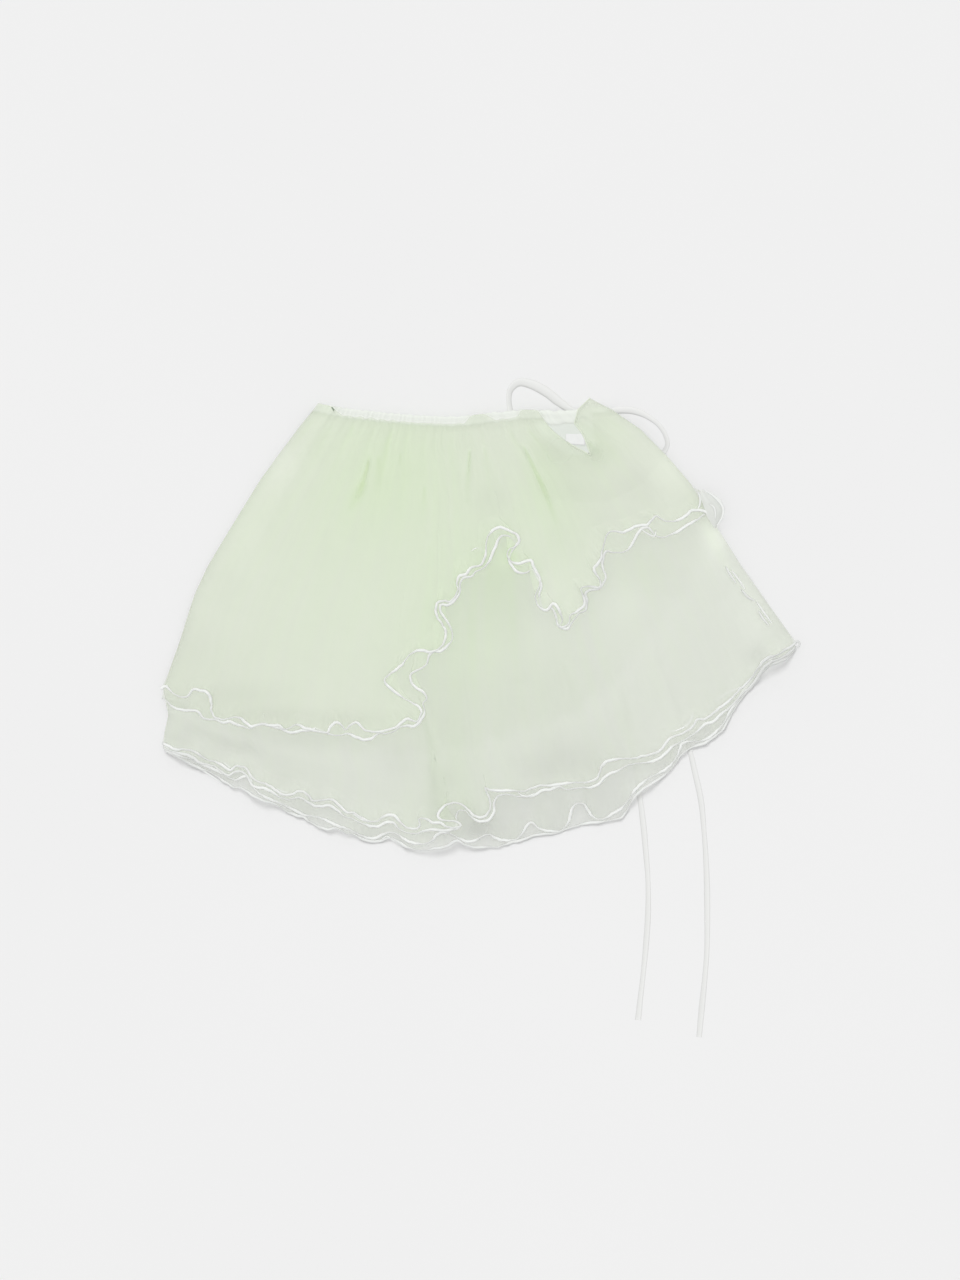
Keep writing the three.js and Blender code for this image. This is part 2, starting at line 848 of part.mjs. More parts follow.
// The label lies on the inner back ply, in the opening, clear of it by the seam gap.
function labelPlate() {
  const corners = [
    [{ across: 565, down: 434.5 }, { across: 575, down: 434.5 }, { across: 585, down: 434.5 }],
    [{ across: 566, down: 444.5 }, { across: 575, down: 445.5 }, { across: 585, down: 446.5 }],
  ];
  const rows = corners.map((corner) => {
    const spots = corner.map(({ across, down }) => ({ across, down, ...chart(across, down) }));
    const points = spots.map(({ across, down, share, reach }) => {
      const ply = layerHeight(LAYER.underBackBacking, share, reach) + WALL;
      return new THREE.Vector3(across - FRAME_ACROSS, FRAME_DOWN - down, ply + SEAM_GAP);
    });
    return { shares: [0, 0.5, 1], points };
  });
  return wallFromRows(rows, LABEL_THICK);
}

// The tape's section: a flat strip with its four corners cut.
function tapeSection() {
  const halfWidth = TAPE_WIDTH / 2;
  const halfThick = TAPE_THICK / 2;
  const cut = TAPE_THICK / 4;
  const corners = [
    [halfWidth, -halfThick + cut], [halfWidth, halfThick - cut],
    [halfWidth - cut, halfThick], [-halfWidth + cut, halfThick],
    [-halfWidth, halfThick - cut], [-halfWidth, -halfThick + cut],
    [-halfWidth + cut, -halfThick], [halfWidth - cut, -halfThick],
  ];
  return corners;
}

function tapeGeometry(line, stepFactor) {
  const points = line.map(({ across, down }) => {
    return new THREE.Vector3(across - FRAME_ACROSS, FRAME_DOWN - down, TAPE_THICK / 2);
  });
  const path = new THREE.CatmullRomCurve3(points, false, 'centripetal');
  const count = Math.round(path.getLength() * stepFactor / TAPE_STEP);
  const frames = path.computeFrenetFrames(count, false);
  const flatAcross = Math.abs(frames.normals[0].z) > HALF_WAY;
  const shape = new THREE.Shape();
  tapeSection().forEach(([wide, thick], index) => {
    const [first, second] = flatAcross ? [thick, wide] : [wide, thick];
    if (index === 0) {
      shape.moveTo(first, second);
    } else {
      shape.lineTo(first, second);
    }
  });
  const geometry = new THREE.ExtrudeGeometry(shape, { extrudePath: path, steps: count });
  geometry.deleteAttribute('uv');
  geometry.deleteAttribute('normal');
  const welded = mergeVertices(geometry, 0.001);
  welded.computeVertexNormals();
  return welded;
}

function knotGeometry() {
  const geometry = new THREE.SphereGeometry(1, 16, 8);
  geometry.rotateX(Math.PI / 2);
  geometry.scale(KNOT_HALF.across, KNOT_HALF.down, KNOT_HALF.up);
  geometry.translate(KNOT.across - FRAME_ACROSS, FRAME_DOWN - KNOT.down, KNOT_HALF.up);
  geometry.deleteAttribute('uv');
  geometry.deleteAttribute('normal');
  const welded = mergeVertices(geometry, 0.001);
  welded.computeVertexNormals();
  return welded;
}

function clothMaterial(colour) {
  return new THREE.MeshStandardMaterial({ color: colour, roughness: 0.85, metalness: 0 });
}

const GREEN = 0xdbe5d2;
const GREEN_PALE = 0xe2e8dd;
const WHITE = 0xf0f2ee;

const group = new THREE.Group();

function addPiece(name, geometry, colour) {
  const mesh = new THREE.Mesh(geometry, clothMaterial(colour));
  mesh.name = name;
  group.add(mesh);
}

addPiece('outer_back_face', outerBackPly(LAYER.outerBackFace, 0, 0), GREEN);
addPiece('outer_back_backing', outerBackPly(LAYER.outerBackBacking, HIDDEN_BACKING_LESS, 0.4), GREEN);
addPiece('under_back_face', underBackPly(LAYER.underBackFace, 0, 0.3), GREEN_PALE);
addPiece('under_back_backing', underBackPly(LAYER.underBackBacking, BACK_BACKING_EXTRA, 0.55), GREEN_PALE);
addPiece('under_front_backing', underFrontPly(LAYER.underFrontBacking, UNDER_BACKING, 0.6), GREEN_PALE);
addPiece('under_front_face', underFrontPly(LAYER.underFrontFace, UNDER_FACE, 0.1), GREEN_PALE);
addPiece('outer_front_backing', outerFrontPly(LAYER.outerFrontBacking, OUTER_BACKING, 0.45), GREEN);
addPiece('outer_front_face', outerFrontPly(LAYER.outerFrontFace, OUTER_FACE, 0), GREEN);
addPiece('waistband_back', backStrip(), WHITE);
addPiece('waistband_front', frontStrip(), WHITE);
addPiece('waist_label', labelPlate(), WHITE);
addPiece('bow_knot', knotGeometry(), WHITE);
addPiece('bow_loop_left', tapeGeometry(LOOP_LEFT_LINE, LOOP_FINENESS), WHITE);
addPiece('bow_loop_right', tapeGeometry(LOOP_RIGHT_LINE, LOOP_FINENESS), WHITE);
addPiece('tail_left', tapeGeometry(TAIL_LEFT_LINE, 1), WHITE);
addPiece('tail_right', tapeGeometry(TAIL_RIGHT_LINE, 1), WHITE);

export default group;
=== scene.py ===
import math

import bpy
import numpy as np
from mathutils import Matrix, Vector


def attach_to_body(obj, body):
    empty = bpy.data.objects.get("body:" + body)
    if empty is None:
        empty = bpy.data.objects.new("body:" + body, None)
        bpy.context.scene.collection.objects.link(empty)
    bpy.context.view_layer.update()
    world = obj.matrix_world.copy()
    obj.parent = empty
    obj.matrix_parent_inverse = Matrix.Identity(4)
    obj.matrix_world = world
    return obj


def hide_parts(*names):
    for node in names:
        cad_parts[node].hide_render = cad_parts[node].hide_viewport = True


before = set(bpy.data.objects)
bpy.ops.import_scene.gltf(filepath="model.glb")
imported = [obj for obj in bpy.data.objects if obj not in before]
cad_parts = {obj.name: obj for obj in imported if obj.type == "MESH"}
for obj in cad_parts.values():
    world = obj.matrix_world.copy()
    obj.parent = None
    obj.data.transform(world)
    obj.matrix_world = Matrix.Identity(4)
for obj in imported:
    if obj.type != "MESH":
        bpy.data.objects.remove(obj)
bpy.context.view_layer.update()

# A two tier skirt of sheer cloth, laid flat, seen from straight above.
# Places are millimetres across and down the floor, and heights are millimetres over it.
MM = 0.001
METRE = 1000
FAR = 999

# The part's own zero, the point that the gathers fan out from, and the camera's view.
FRAME_ACROSS = 479.65
FRAME_DOWN = 625.6
FAN_ACROSS = 436
FAN_DOWN = 188
VIEW_ACROSS = 480
VIEW_DOWN = 640
VIEW_TALL = 1280
CAMERA_HEIGHT = 3000
SENSOR = 36

# A ply's wall, the gaps between plies, and the rims of painted shade along the side edges: half
# width, dark.
WALL = 1.2
SEAM_GAP = 0.3
OVER_BAND = 1.1
RIM_SHADES = ((1.6, 0.07), (6, 0.05))
RIM_CLEAR = 30
EDGE_SQUEEZE = 0.07
BAND_DEPTH = 10
BAND_TOP = 1.2
EVEN_END = 0.826
STACK_CLEARS = (0, 0.8, 1.0, 0.8, 1.6, 0.8, 1.8, 0.8)
OUTER_EDGE_CLEAR = 0.3

# Layers counted from the floor: where each group starts, and the top ply of each tier.
OUTER_FRONT_START = 6
FRONT_START = 4
UNDER_BACK_START = 2
OUTER_FACE = 7
UNDER_FACE = 5
BACK_TOP = 3
SETTLE_AFTER = 3
SETTLE_BEFORE = 24
OPENING_SOFT = 0.012

# The rolled hems: rows of cloth that turn to the hem, their depth, the bead's half width,
# its lightness, sides and flatness, and the spacing of points along short turns.
HEM_ROWS = 9
HEM_BAND = 12
HEM_BEAD = 1.22
HEM_LIGHT = 0.86
BEAD_SIDES = 6
BEAD_FLAT = 0.5
TURN_SPACING = 1.5

# The tape and its knot, and how far round them the cloth is held up.
TAPE_SHELTER = 26
KNOT_SHELTER = 62
SHELTER_SLOPE = 40
KNOT_AT = (587, 420)
KNOT_HALF = (7, 7, 1.3)
TAPE_THICK = 1

# Reach and turn, in degrees, of the side edges.
LEFT_EDGE = np.array([
    (247, -28.5), (275, -29.6), (310, -30.4), (341, -30.9), (402, -31.0), (441, -31.0),
    (472, -30.6), (519, -29.4), (570, -28.5), (590, -26.9), (620, -26.2), (650, -26.0),
])
RIGHT_EDGE = np.array([
    (261, 36.0), (284, 38.3), (316, 40.1), (352, 40.6), (391, 40.6), (437, 39.6),
    (484, 38.9), (536, 38.55), (582, 38.3), (650, 38.0),
])
WAIST_LINE = (
    (318, 405), (337, 409), (370, 413), (400, 416), (430, 418), (490, 415), (520, 412),
    (545, 412), (583, 410), (600, 408),
)
# Share and reach of the front's top edge round the opening and the flap.
OPENING_EDGE = np.array([
    (0.826, 262), (0.834, 288), (0.85, 301), (0.858, 310), (0.88, 291), (0.893, 274),
    (0.94, 264), (1, 261),
])
# Share and reach of the hidden hem of the outer tier's back.
HIDDEN_HEM = np.array([
    (0, 583), (0.22, 578), (0.4, 566), (0.5, 560), (0.68, 540), (0.83, 490), (1, 448),
])

# The hems as they lie, across and down, each from the left edge to the right edge.
OUTER_FACE_HEM = (
    (162, 689), (167, 686), (173, 692), (180, 696), (187, 697), (191, 694), (195, 689),
    (202, 690), (209, 692), (212, 697), (213, 704), (213, 711), (217, 717), (225, 719),
    (234, 717), (241, 717), (247, 722), (253, 726), (260, 724), (266, 724), (273, 725),
    (280, 725), (287, 729), (293, 726), (299, 724), (305, 727), (312, 729), (320, 731),
    (328, 732), (331, 727), (336, 722), (341, 723), (346, 729), (352, 724), (358, 722),
    (365, 729), (373, 731), (381, 731), (389, 729), (396, 727), (402, 722), (408, 718),
    (413, 720), (417, 721), (420, 717), (422, 711), (419, 706), (412, 702), (403, 697),
    (395, 691), (388, 685), (385, 680), (389, 675), (397, 669), (403, 664), (408, 657),
    (414, 652), (422, 650), (430, 652), (437, 650), (442, 646), (445, 640), (446, 632),
    (443, 625), (438, 618), (436, 610), (438, 603), (444, 601), (450, 602), (455, 597),
    (458, 590), (457, 583), (460, 576), (466, 575), (469, 570), (474, 567), (480, 566),
    (484, 560), (486, 552), (486, 545), (488, 537), (493, 531), (500, 528), (508, 531),
    (516, 535), (519, 541), (515, 547), (509, 550), (507, 556), (511, 562), (518, 564),
    (525, 562), (531, 561), (533, 567), (537, 574), (540, 581), (538, 589), (535, 596),
    (537, 604), (541, 609), (547, 610), (552, 604), (556, 606), (560, 614), (562, 621),
    (558, 626), (564, 627), (569, 622), (569, 616), (574, 613), (580, 609), (584, 604),
    (583, 597), (580, 590), (584, 587), (591, 587), (598, 588), (600, 583), (597, 577),
    (593, 570), (597, 564), (600, 560), (601, 553), (603, 545), (605, 538), (608, 533),
    (614, 532), (622, 533), (629, 530), (635, 527), (642, 526), (647, 525), (651, 520),
    (655, 517), (660, 520), (665, 522), (672, 522), (679, 520), (685, 516), (691, 511),
    (698, 511), (704, 512), (710, 518), (715, 522), (719, 517), (721, 510), (720, 503),
    (714, 497), (707, 494), (703, 495),
)
OUTER_BACKING_HEM = (
    (163, 698), (168, 701), (173, 706), (180, 709), (188, 710), (196, 710), (201, 712),
    (204, 717), (210, 719), (217, 719), (224, 722), (231, 721), (238, 724), (245, 726),
    (252, 728), (259, 724), (266, 723), (273, 726), (281, 728), (288, 731), (295, 732),
    (302, 730), (309, 730), (317, 728), (324, 731), (332, 734), (340, 735), (348, 733),
    (356, 736), (364, 739), (372, 738), (379, 733), (387, 733), (394, 731), (400, 727),
    (407, 725), (414, 726), (421, 720), (425, 711), (423, 703), (427, 699), (424, 692),
    (416, 687), (411, 680), (412, 673), (420, 669), (427, 664), (429, 656), (434, 651),
    (441, 651), (447, 646), (452, 640), (452, 631), (447, 621), (441, 612), (441, 605),
    (449, 605), (456, 599), (460, 592), (460, 584), (464, 578), (471, 577), (476, 572),
    (484, 568), (490, 560), (493, 552), (496, 546), (498, 540), (503, 536), (509, 537),
    (514, 541), (516, 546), (511, 553), (509, 560), (513, 568), (519, 573), (526, 573),
    (532, 570), (536, 577), (541, 585), (539, 594), (540, 602), (544, 610), (551, 608),
    (556, 617), (558, 625), (566, 629), (572, 622), (578, 614), (585, 610), (586, 601),
    (585, 593), (591, 590), (598, 589), (603, 583), (605, 576), (602, 569), (602, 560),
    (605, 552), (612, 553), (619, 553), (626, 551), (631, 545), (635, 537), (640, 530),
    (646, 528), (650, 531), (654, 536), (662, 538), (670, 535), (677, 532), (684, 527),
    (691, 523), (698, 519), (704, 514), (710, 508), (715, 503), (719, 508), (720, 515),
    (717, 522), (712, 524), (713, 516), (711, 508), (706, 505),
)
UNDER_FACE_HEM = (
    (163, 743), (170, 746), (176, 749), (184, 749), (192, 750), (199, 753), (204, 757),
    (210, 760), (218, 762), (225, 766), (231, 770), (236, 766), (242, 766), (247, 768),
    (250, 773), (255, 779), (262, 782), (270, 785), (277, 790), (284, 794), (292, 794),
    (298, 791), (304, 791), (309, 795), (313, 800), (320, 800), (327, 799), (333, 799),
    (338, 803), (343, 808), (348, 812), (354, 812), (360, 816), (368, 820), (376, 821),
    (384, 816), (391, 814), (396, 816), (401, 822), (407, 827), (414, 828), (418, 828),
    (420, 823), (419, 818), (426, 818), (433, 822), (440, 822), (447, 826), (455, 827),
    (461, 825), (457, 821), (448, 820), (441, 819), (438, 815), (441, 809), (447, 804),
    (455, 802), (462, 804), (468, 809), (474, 815), (480, 817), (486, 815), (490, 808),
    (490, 800), (487, 792), (485, 787), (489, 789), (496, 790), (504, 790), (513, 790),
    (522, 791), (531, 788), (540, 785), (549, 785), (557, 784), (565, 783), (574, 782),
    (583, 782), (590, 781), (596, 778), (599, 773), (601, 766), (606, 761), (614, 759),
    (623, 758), (632, 758), (641, 756), (650, 754), (658, 751), (663, 746), (667, 740),
    (673, 736), (680, 734), (687, 730), (693, 725), (696, 719), (703, 719), (710, 715),
    (717, 709), (724, 704), (731, 698), (738, 690), (745, 684), (751, 677), (756, 669),
    (762, 661), (768, 657), (776, 655), (784, 650), (791, 646), (796, 642),
)
UNDER_BACKING_HEM = (
    (164, 748), (170, 750), (177, 752), (186, 754), (194, 757), (200, 762), (207, 764),
    (215, 766), (222, 771), (229, 775), (237, 771), (244, 772), (249, 778), (253, 785),
    (259, 787), (266, 788), (274, 792), (281, 797), (290, 799), (299, 797), (306, 800),
    (314, 805), (322, 806), (330, 805), (338, 810), (345, 816), (352, 818), (360, 822),
    (369, 825), (378, 826), (386, 822), (393, 822), (399, 828), (407, 832), (416, 833),
    (425, 830), (434, 829), (443, 830), (451, 829), (457, 825), (456, 817), (459, 810),
    (466, 811), (472, 817), (480, 821), (489, 819), (494, 811), (494, 802), (499, 795),
    (508, 794), (517, 796), (526, 796), (534, 795), (542, 790), (551, 789), (558, 786),
    (566, 789), (575, 788), (583, 787), (591, 787), (599, 783), (604, 777), (610, 773),
    (618, 770), (627, 765), (637, 763), (647, 762), (657, 759), (665, 753), (672, 746),
    (681, 741), (690, 736), (698, 730), (704, 724), (713, 721), (720, 714), (727, 709),
    (735, 701), (742, 693), (750, 686), (756, 678), (762, 668), (769, 662), (778, 659),
    (787, 654), (795, 647),
)
BACK_FACE_HEM = (
    (164, 745), (172, 751), (182, 756), (192, 759), (202, 764), (212, 768), (222, 773),
    (229, 777), (236, 780), (242, 777), (248, 776), (252, 781), (255, 788), (260, 793),
    (267, 797), (274, 800), (281, 803), (289, 807), (297, 811), (305, 815), (313, 816),
    (322, 818), (331, 822), (340, 826), (347, 828), (353, 831), (359, 834), (366, 837),
    (375, 838), (383, 834), (390, 832), (396, 833), (402, 837), (409, 841), (417, 843),
    (425, 843), (432, 840), (437, 834), (443, 832), (450, 833), (458, 837), (467, 841),
    (475, 840), (482, 836), (489, 834), (496, 838), (503, 840), (511, 840), (518, 838),
    (523, 832), (527, 825), (532, 822), (537, 827), (544, 830), (552, 831), (560, 831),
    (565, 827), (569, 820), (571, 811), (574, 805), (579, 803), (584, 804), (588, 810),
    (592, 816), (598, 819), (605, 818), (613, 813), (620, 809), (626, 803), (630, 797),
    (634, 790), (640, 784), (648, 778), (656, 774), (664, 770), (671, 764), (676, 757),
    (679, 750), (682, 743), (691, 741), (700, 741), (709, 737), (717, 730), (724, 722),
    (729, 712), (735, 703), (742, 692), (750, 682), (757, 673), (763, 665), (770, 659),
    (779, 657), (788, 652), (795, 646),
)
BACK_BACKING_HEM = (
    (165, 750), (176, 755), (188, 762), (200, 768), (212, 773), (224, 781), (234, 787),
    (242, 788), (250, 793), (257, 797), (266, 801), (276, 804), (286, 811), (296, 815),
    (304, 817), (310, 822), (318, 826), (327, 829), (338, 828), (346, 833), (353, 834),
    (361, 838), (370, 841), (380, 841), (388, 838), (396, 840), (404, 845), (413, 849),
    (424, 850), (434, 848), (446, 846), (457, 840), (464, 844), (474, 847), (486, 847),
    (498, 847), (504, 845), (512, 842), (522, 840), (532, 836), (543, 834), (556, 833),
    (566, 829), (576, 826), (588, 823), (600, 822), (612, 820), (622, 817), (628, 808),
    (634, 797), (642, 789), (652, 783), (664, 775), (674, 765), (681, 755), (692, 747),
    (702, 744), (712, 738), (722, 730), (729, 718), (736, 706), (744, 695), (753, 684),
    (761, 673), (770, 665), (780, 661), (789, 656), (796, 648),
)

# Long soft folds under the gathers: share, reach from, reach to, height, half width.
FOLDS = (
    (0.18, 250, 300, 0.8, 7), (0.43, 285, 420, 0.8, 6), (0.50, 236, 300, 0.8, 6),
    (0.595, 250, 330, 0.8, 5), (0.93, 262, 350, 1.0, 9), (0.10, 380, 560, 1.2, 18),
    (0.33, 400, 540, 1.0, 14), (0.745, 300, 400, 1.0, 7),
)
# Creases as they lie: points, half width, height, how green, how much painted shade along the
# crease, how much painted highlight on its right.
OUTER_CREASES = (
    (((370, 458), (367, 472), (363, 485), (358, 497), (352, 507)), 2.0, 2.2, 0.55, 0.05, 0.02),
    (((369, 461), (368, 467)), 0.8, 0.2, 0.0, 0.10, 0.0),
    (((366, 480), (361, 494), (352, 506), (345, 515)), 7.0, 0.6, 0.30, 0.0, 0.01),
    (((353, 424), (353, 432), (352, 441)), 1.8, 0.6, 0.25, 0.01, 0.01),
    (((401, 455), (400, 469)), 1.5, 0.6, 0.25, 0.01, 0.0),
    (((470, 449), (469, 465), (468, 481), (467, 501)), 1.9, 2.0, 0.60, 0.07, 0.02),
    (((425, 486), (424, 505), (423, 522)), 2.6, 0.6, 0.20, 0.01, 0.01),
    (((484, 446), (488, 475), (493, 504)), 3.2, 0.8, 0.18, 0.01, 0.01),
    (((379, 456), (379, 482)), 3.0, 0.6, 0.22, 0.0, 0.01),
    (((521, 443), (528, 457), (534, 470), (541, 484), (548, 499), (555, 520)), 2.0, 2.2, 0.50,
     0.05, 0.02),
    (((536, 474), (544, 492), (553, 514), (561, 536)), 2.4, 0.8, 0.20, 0.03, 0.01),
    (((587, 443), (595, 452), (603, 461)), 3.6, 1.6, 0.40, 0.09, 0.02),
    (((330, 520), (322, 560), (316, 600)), 9.0, 0.8, 0.05, 0.006, 0.006),
    (((430, 540), (426, 580), (424, 625)), 5.0, 0.6, 0.08, 0.006, 0.008),
    (((250, 520), (232, 570), (218, 620)), 8.0, 0.8, 0.04, 0.006, 0.006),
)
UNDER_CREASES = (
    (((561, 661), (570, 684), (579, 707), (588, 733)), 5.0, 1.2, 0.02, 0.020, 0.008),
    (((620, 688), (623, 715), (626, 741)), 5.0, 1.0, 0.02, 0.014, 0.006),
    (((421, 700), (424, 716), (428, 735), (431, 750), (433, 790), (436, 812)), 3.6, 1.6, 0.10,
     0.050, 0.022),
    (((722, 566), (731, 580), (741, 594), (753, 606), (764, 622), (774, 634)), 2.6, 1.2, -0.05,
     0.030, 0.030),
    (((724, 567), (729, 573), (734, 583)), 1.1, 0.8, 0.0, 0.060, 0.040),
    (((740, 590), (747, 598), (754, 602)), 1.1, 0.8, 0.0, 0.060, 0.040),
    (((757, 611), (762, 619), (768, 626)), 1.1, 0.8, 0.0, 0.055, 0.040),
    (((775, 632), (781, 640), (787, 643)), 1.2, 0.6, 0.0, 0.060, 0.030),
    (((432, 752), (433, 775), (435, 800), (436, 815)), 3.0, 0.8, 0.10, 0.045, 0.0),
    (((470, 600), (468, 660), (466, 720)), 7.0, 0.8, 0.06, 0.008, 0.010),
    (((512, 590), (514, 640), (516, 700)), 8.0, 0.8, 0.05, 0.010, 0.008),
    (((690, 560), (702, 600), (716, 640)), 10.0, 1.0, -0.02, -0.012, 0.0),
)
BACK_CREASES = (
    (((460, 800), (478, 815), (470, 832)), 8.0, 0.8, 0.12, 0.030, 0.0),
    (((540, 800), (542, 822)), 4.0, 0.8, 0.02, 0.015, 0.010),
    (((444, 812), (440, 828), (438, 842)), 5.0, 0.6, 0.06, 0.030, 0.0),
)
# Areas of painted shade and painted highlight, with some uneven tone of the cloth: across, down,
# half width, half depth, amount.
OUTER_AREAS = (
    (280, 590, 60, 60, 0.012), (380, 600, 60, 50, 0.010), (550, 545, 34, 30, 0.030),
    (455, 440, 30, 30, -0.010), (615, 480, 26, 40, -0.012), (185, 700, 30, 12, -0.030),
    (560, 440, 20, 12, -0.03), (215, 660, 60, 50, -0.015), (590, 415, 20, 26, -0.080),
    (478, 414, 12, 8, -0.05), (529, 414, 14, 8, -0.04), (316, 410, 20, 12, -0.030),
    (600, 400, 30, 14, -0.03), (557, 452, 23, 19, -0.115), (572, 482, 24, 26, -0.07),
    (642, 490, 24, 24, -0.07), (188, 655, 34, 44, -0.08), (300, 442, 24, 20, -0.04),
    (596, 455, 14, 14, -0.10), (178, 708, 16, 10, -0.07), (245, 696, 44, 14, -0.08),
    (490, 500, 20, 20, -0.07), (560, 540, 20, 22, -0.06), (221, 582, 22, 26, -0.05),
    (602, 520, 18, 18, -0.05), (670, 468, 24, 26, 0.12), (280, 460, 20, 20, 0.06),
    (545, 595, 26, 20, 0.04), (178, 708, 14, 10, -0.08),
    (266, 715, 46, 9, -0.11), (352, 719, 50, 9, -0.09),
)
UNDER_AREAS = (
    (660, 620, 60, 60, 0.030), (600, 640, 40, 40, 0.020), (480, 655, 40, 30, 0.022),
    (500, 590, 30, 30, -0.020), (450, 760, 24, 60, -0.026), (250, 740, 70, 18, -0.022),
    (350, 775, 50, 20, 0.012), (740, 620, 26, 40, 0.020), (620, 590, 20, 20, -0.010),
    (560, 740, 60, 24, -0.010), (690, 715, 60, 22, 0.012), (640, 610, 40, 40, 0.012),
    (480, 650, 34, 26, 0.024), (610, 645, 30, 26, 0.016), (450, 765, 22, 50, -0.012),
    (724, 700, 26, 22, -0.022), (650, 680, 30, 22, 0.014), (738, 590, 22, 34, 0.050),
    (540, 642, 28, 28, 0.045), (440, 792, 14, 24, -0.060), (700, 560, 26, 18, 0.030),
    (573, 760, 44, 20, -0.105), (540, 770, 20, 14, -0.060), (400, 760, 24, 16, -0.070),
    (180, 740, 16, 12, -0.120), (230, 748, 30, 10, -0.050), (622, 600, 24, 28, 0.070),
    (755, 622, 14, 24, 0.060), (560, 600, 24, 28, 0.030), (300, 738, 40, 8, -0.040),
    (455, 813, 24, 10, -0.120), (760, 656, 14, 10, -0.140), (505, 559, 10, 10, 0.130),
    (714, 530, 14, 24, 0.300), (282, 780, 18, 8, -0.060),
)
BACK_AREAS = (
    (520, 812, 60, 16, -0.020), (600, 800, 30, 14, -0.028), (470, 825, 34, 12, -0.030),
    (230, 775, 60, 10, -0.020), (446, 836, 20, 8, -0.070), (567, 438, 24, 16, 0.10),
    (480, 830, 16, 10, -0.180),
)


def clamp(value, low=0.0, high=1.0):
    return np.minimum(high, np.maximum(low, value))


def smooth(value):
    part = clamp(value)
    return part * part * (3 - 2 * part)


def between(start, end, part):
    return start + (end - start) * part


def edge_turns(reach):
    left = np.interp(reach, LEFT_EDGE[:, 0], LEFT_EDGE[:, 1])
    right = np.interp(reach, RIGHT_EDGE[:, 0], RIGHT_EDGE[:, 1])
    return left, right


def place(share, reach):
    """Across and down of a share and a reach."""
    left, right = edge_turns(reach)
    turn = np.radians(between(left, right, share))
    return FAN_ACROSS + reach * np.sin(turn), FAN_DOWN + reach * np.cos(turn)


def chart(across, down):
    """Share and reach of a place."""
    side = np.asarray(across, float) - FAN_ACROSS
    drop = np.asarray(down, float) - FAN_DOWN
    reach = np.hypot(side, drop)
    left, right = edge_turns(reach)
    turn = np.degrees(np.arctan2(side, drop))
    return (turn - left) / (right - left), reach


def inside_chart(across, down):
    """Share and reach of a place, the share held between the side edges."""
    share, reach = chart(across, down)
    return np.clip(share, 0, 1), reach


def rising_table(points):
    """A line's shares and reaches, kept only where the share rises."""
    shares, reaches = chart(*np.transpose(points))
    rows = []
    for share, reach in zip(np.clip(shares, 0, 1), reaches):
        if not rows or share > rows[-1][0] + 0.001:
            rows.append((share, reach))
    return np.array(rows)


WAIST = rising_table(WAIST_LINE)
BACK_TABLE = rising_table(BACK_FACE_HEM)


def reach_of(table, share):
    return np.interp(share, table[:, 0], table[:, 1])


def stack_heights():
    heights = []
    middle = 0
    for layer, clear in enumerate(STACK_CLEARS):
        middle += WALL + clear if layer else 0
        outer = OUTER_EDGE_CLEAR if layer >= OUTER_FRONT_START else 0
        heights.append((layer * (WALL + SEAM_GAP) + outer, middle))
    return heights


STACK = stack_heights()


def calm(share):
    return clamp(np.minimum(share, 1 - share) / EDGE_SQUEEZE)


def stack_height(layer, share):
    edge, middle = STACK[layer]
    return between(edge, middle, smooth(calm(share)))


# Centre lines of the tape's loops and tails.
LOOP_LEFT_LINE = (
    (579.6, 416.8), (570, 411), (558, 401.5), (548, 392.5), (533, 383.5), (518, 383),
    (510, 391), (508.5, 403), (513, 416), (530, 424), (555, 426), (579.6, 423.4),
)
LOOP_RIGHT_LINE = (
    (594.4, 416.8), (606, 416), (618, 412.5), (628, 410.5), (639, 413.5), (648, 418),
    (656, 423.5), (662, 430), (666, 438), (666.5, 446), (662, 452.5), (654, 453), (638, 444),
    (618, 432), (606, 425.5), (594.4, 423.4),
)
TAIL_LEFT_LINE = (
    (584, 428.3), (590, 470), (602, 540), (615, 610), (625, 690), (634, 759), (639, 792),
    (643, 822), (646, 854), (648, 883), (648, 913), (646, 944), (643, 975), (640, 1001),
    (638, 1020),
)
TAIL_RIGHT_LINE = (
    (590.6, 428.3), (604, 470), (626, 540), (650, 620), (672, 690), (688, 744), (695, 773),
    (701, 801), (704, 832), (706, 862), (707, 895), (707, 944), (705, 975), (702, 1005),
    (699, 1037),
)


def beside_line(line, across, down):
    """The nearest distance to a line, below zero on its right, and how far along it that is."""
    nearest = np.full(np.shape(across), np.inf)
    along_line = np.zeros(np.shape(across))
    passed = 0
    for start, end in zip(line, line[1:]):
        run = np.array(end, float) - np.array(start, float)
        along = (across - start[0]) * run[0] + (down - start[1]) * run[1]
        part = clamp(along / (run @ run))
        gap = np.hypot(across - start[0] - part * run[0], down - start[1] - part * run[1])
        turn = (across - start[0]) * run[1] - (down - start[1]) * run[0]
        gap = np.where(turn > 0, -gap, gap)
        length = math.sqrt(run @ run)
        along_line = np.where(np.abs(gap) < np.abs(nearest), passed + part * length, along_line)
        nearest = np.where(np.abs(gap) < np.abs(nearest), gap, nearest)
        passed += length
    return nearest, along_line / passed


def tape_lift(across, down):
    """How far the tape and its knot hold the cloth off the floor."""
    lines = (LOOP_LEFT_LINE, LOOP_RIGHT_LINE, TAIL_LEFT_LINE, TAIL_RIGHT_LINE)
    tape_gap = np.min([np.abs(beside_line(line, across, down)[0]) for line in lines], axis=0)
    knot_gap = np.hypot(across - KNOT_AT[0], down - KNOT_AT[1])
    over_tape = smooth(1 - (tape_gap - TAPE_SHELTER) / SHELTER_SLOPE)
    over_knot = smooth(1 - (knot_gap - KNOT_SHELTER) / SHELTER_SLOPE)
    tape_rise = (TAPE_THICK + SEAM_GAP) * over_tape
    return np.maximum(tape_rise, (2 * KNOT_HALF[2] + SEAM_GAP) * over_knot)


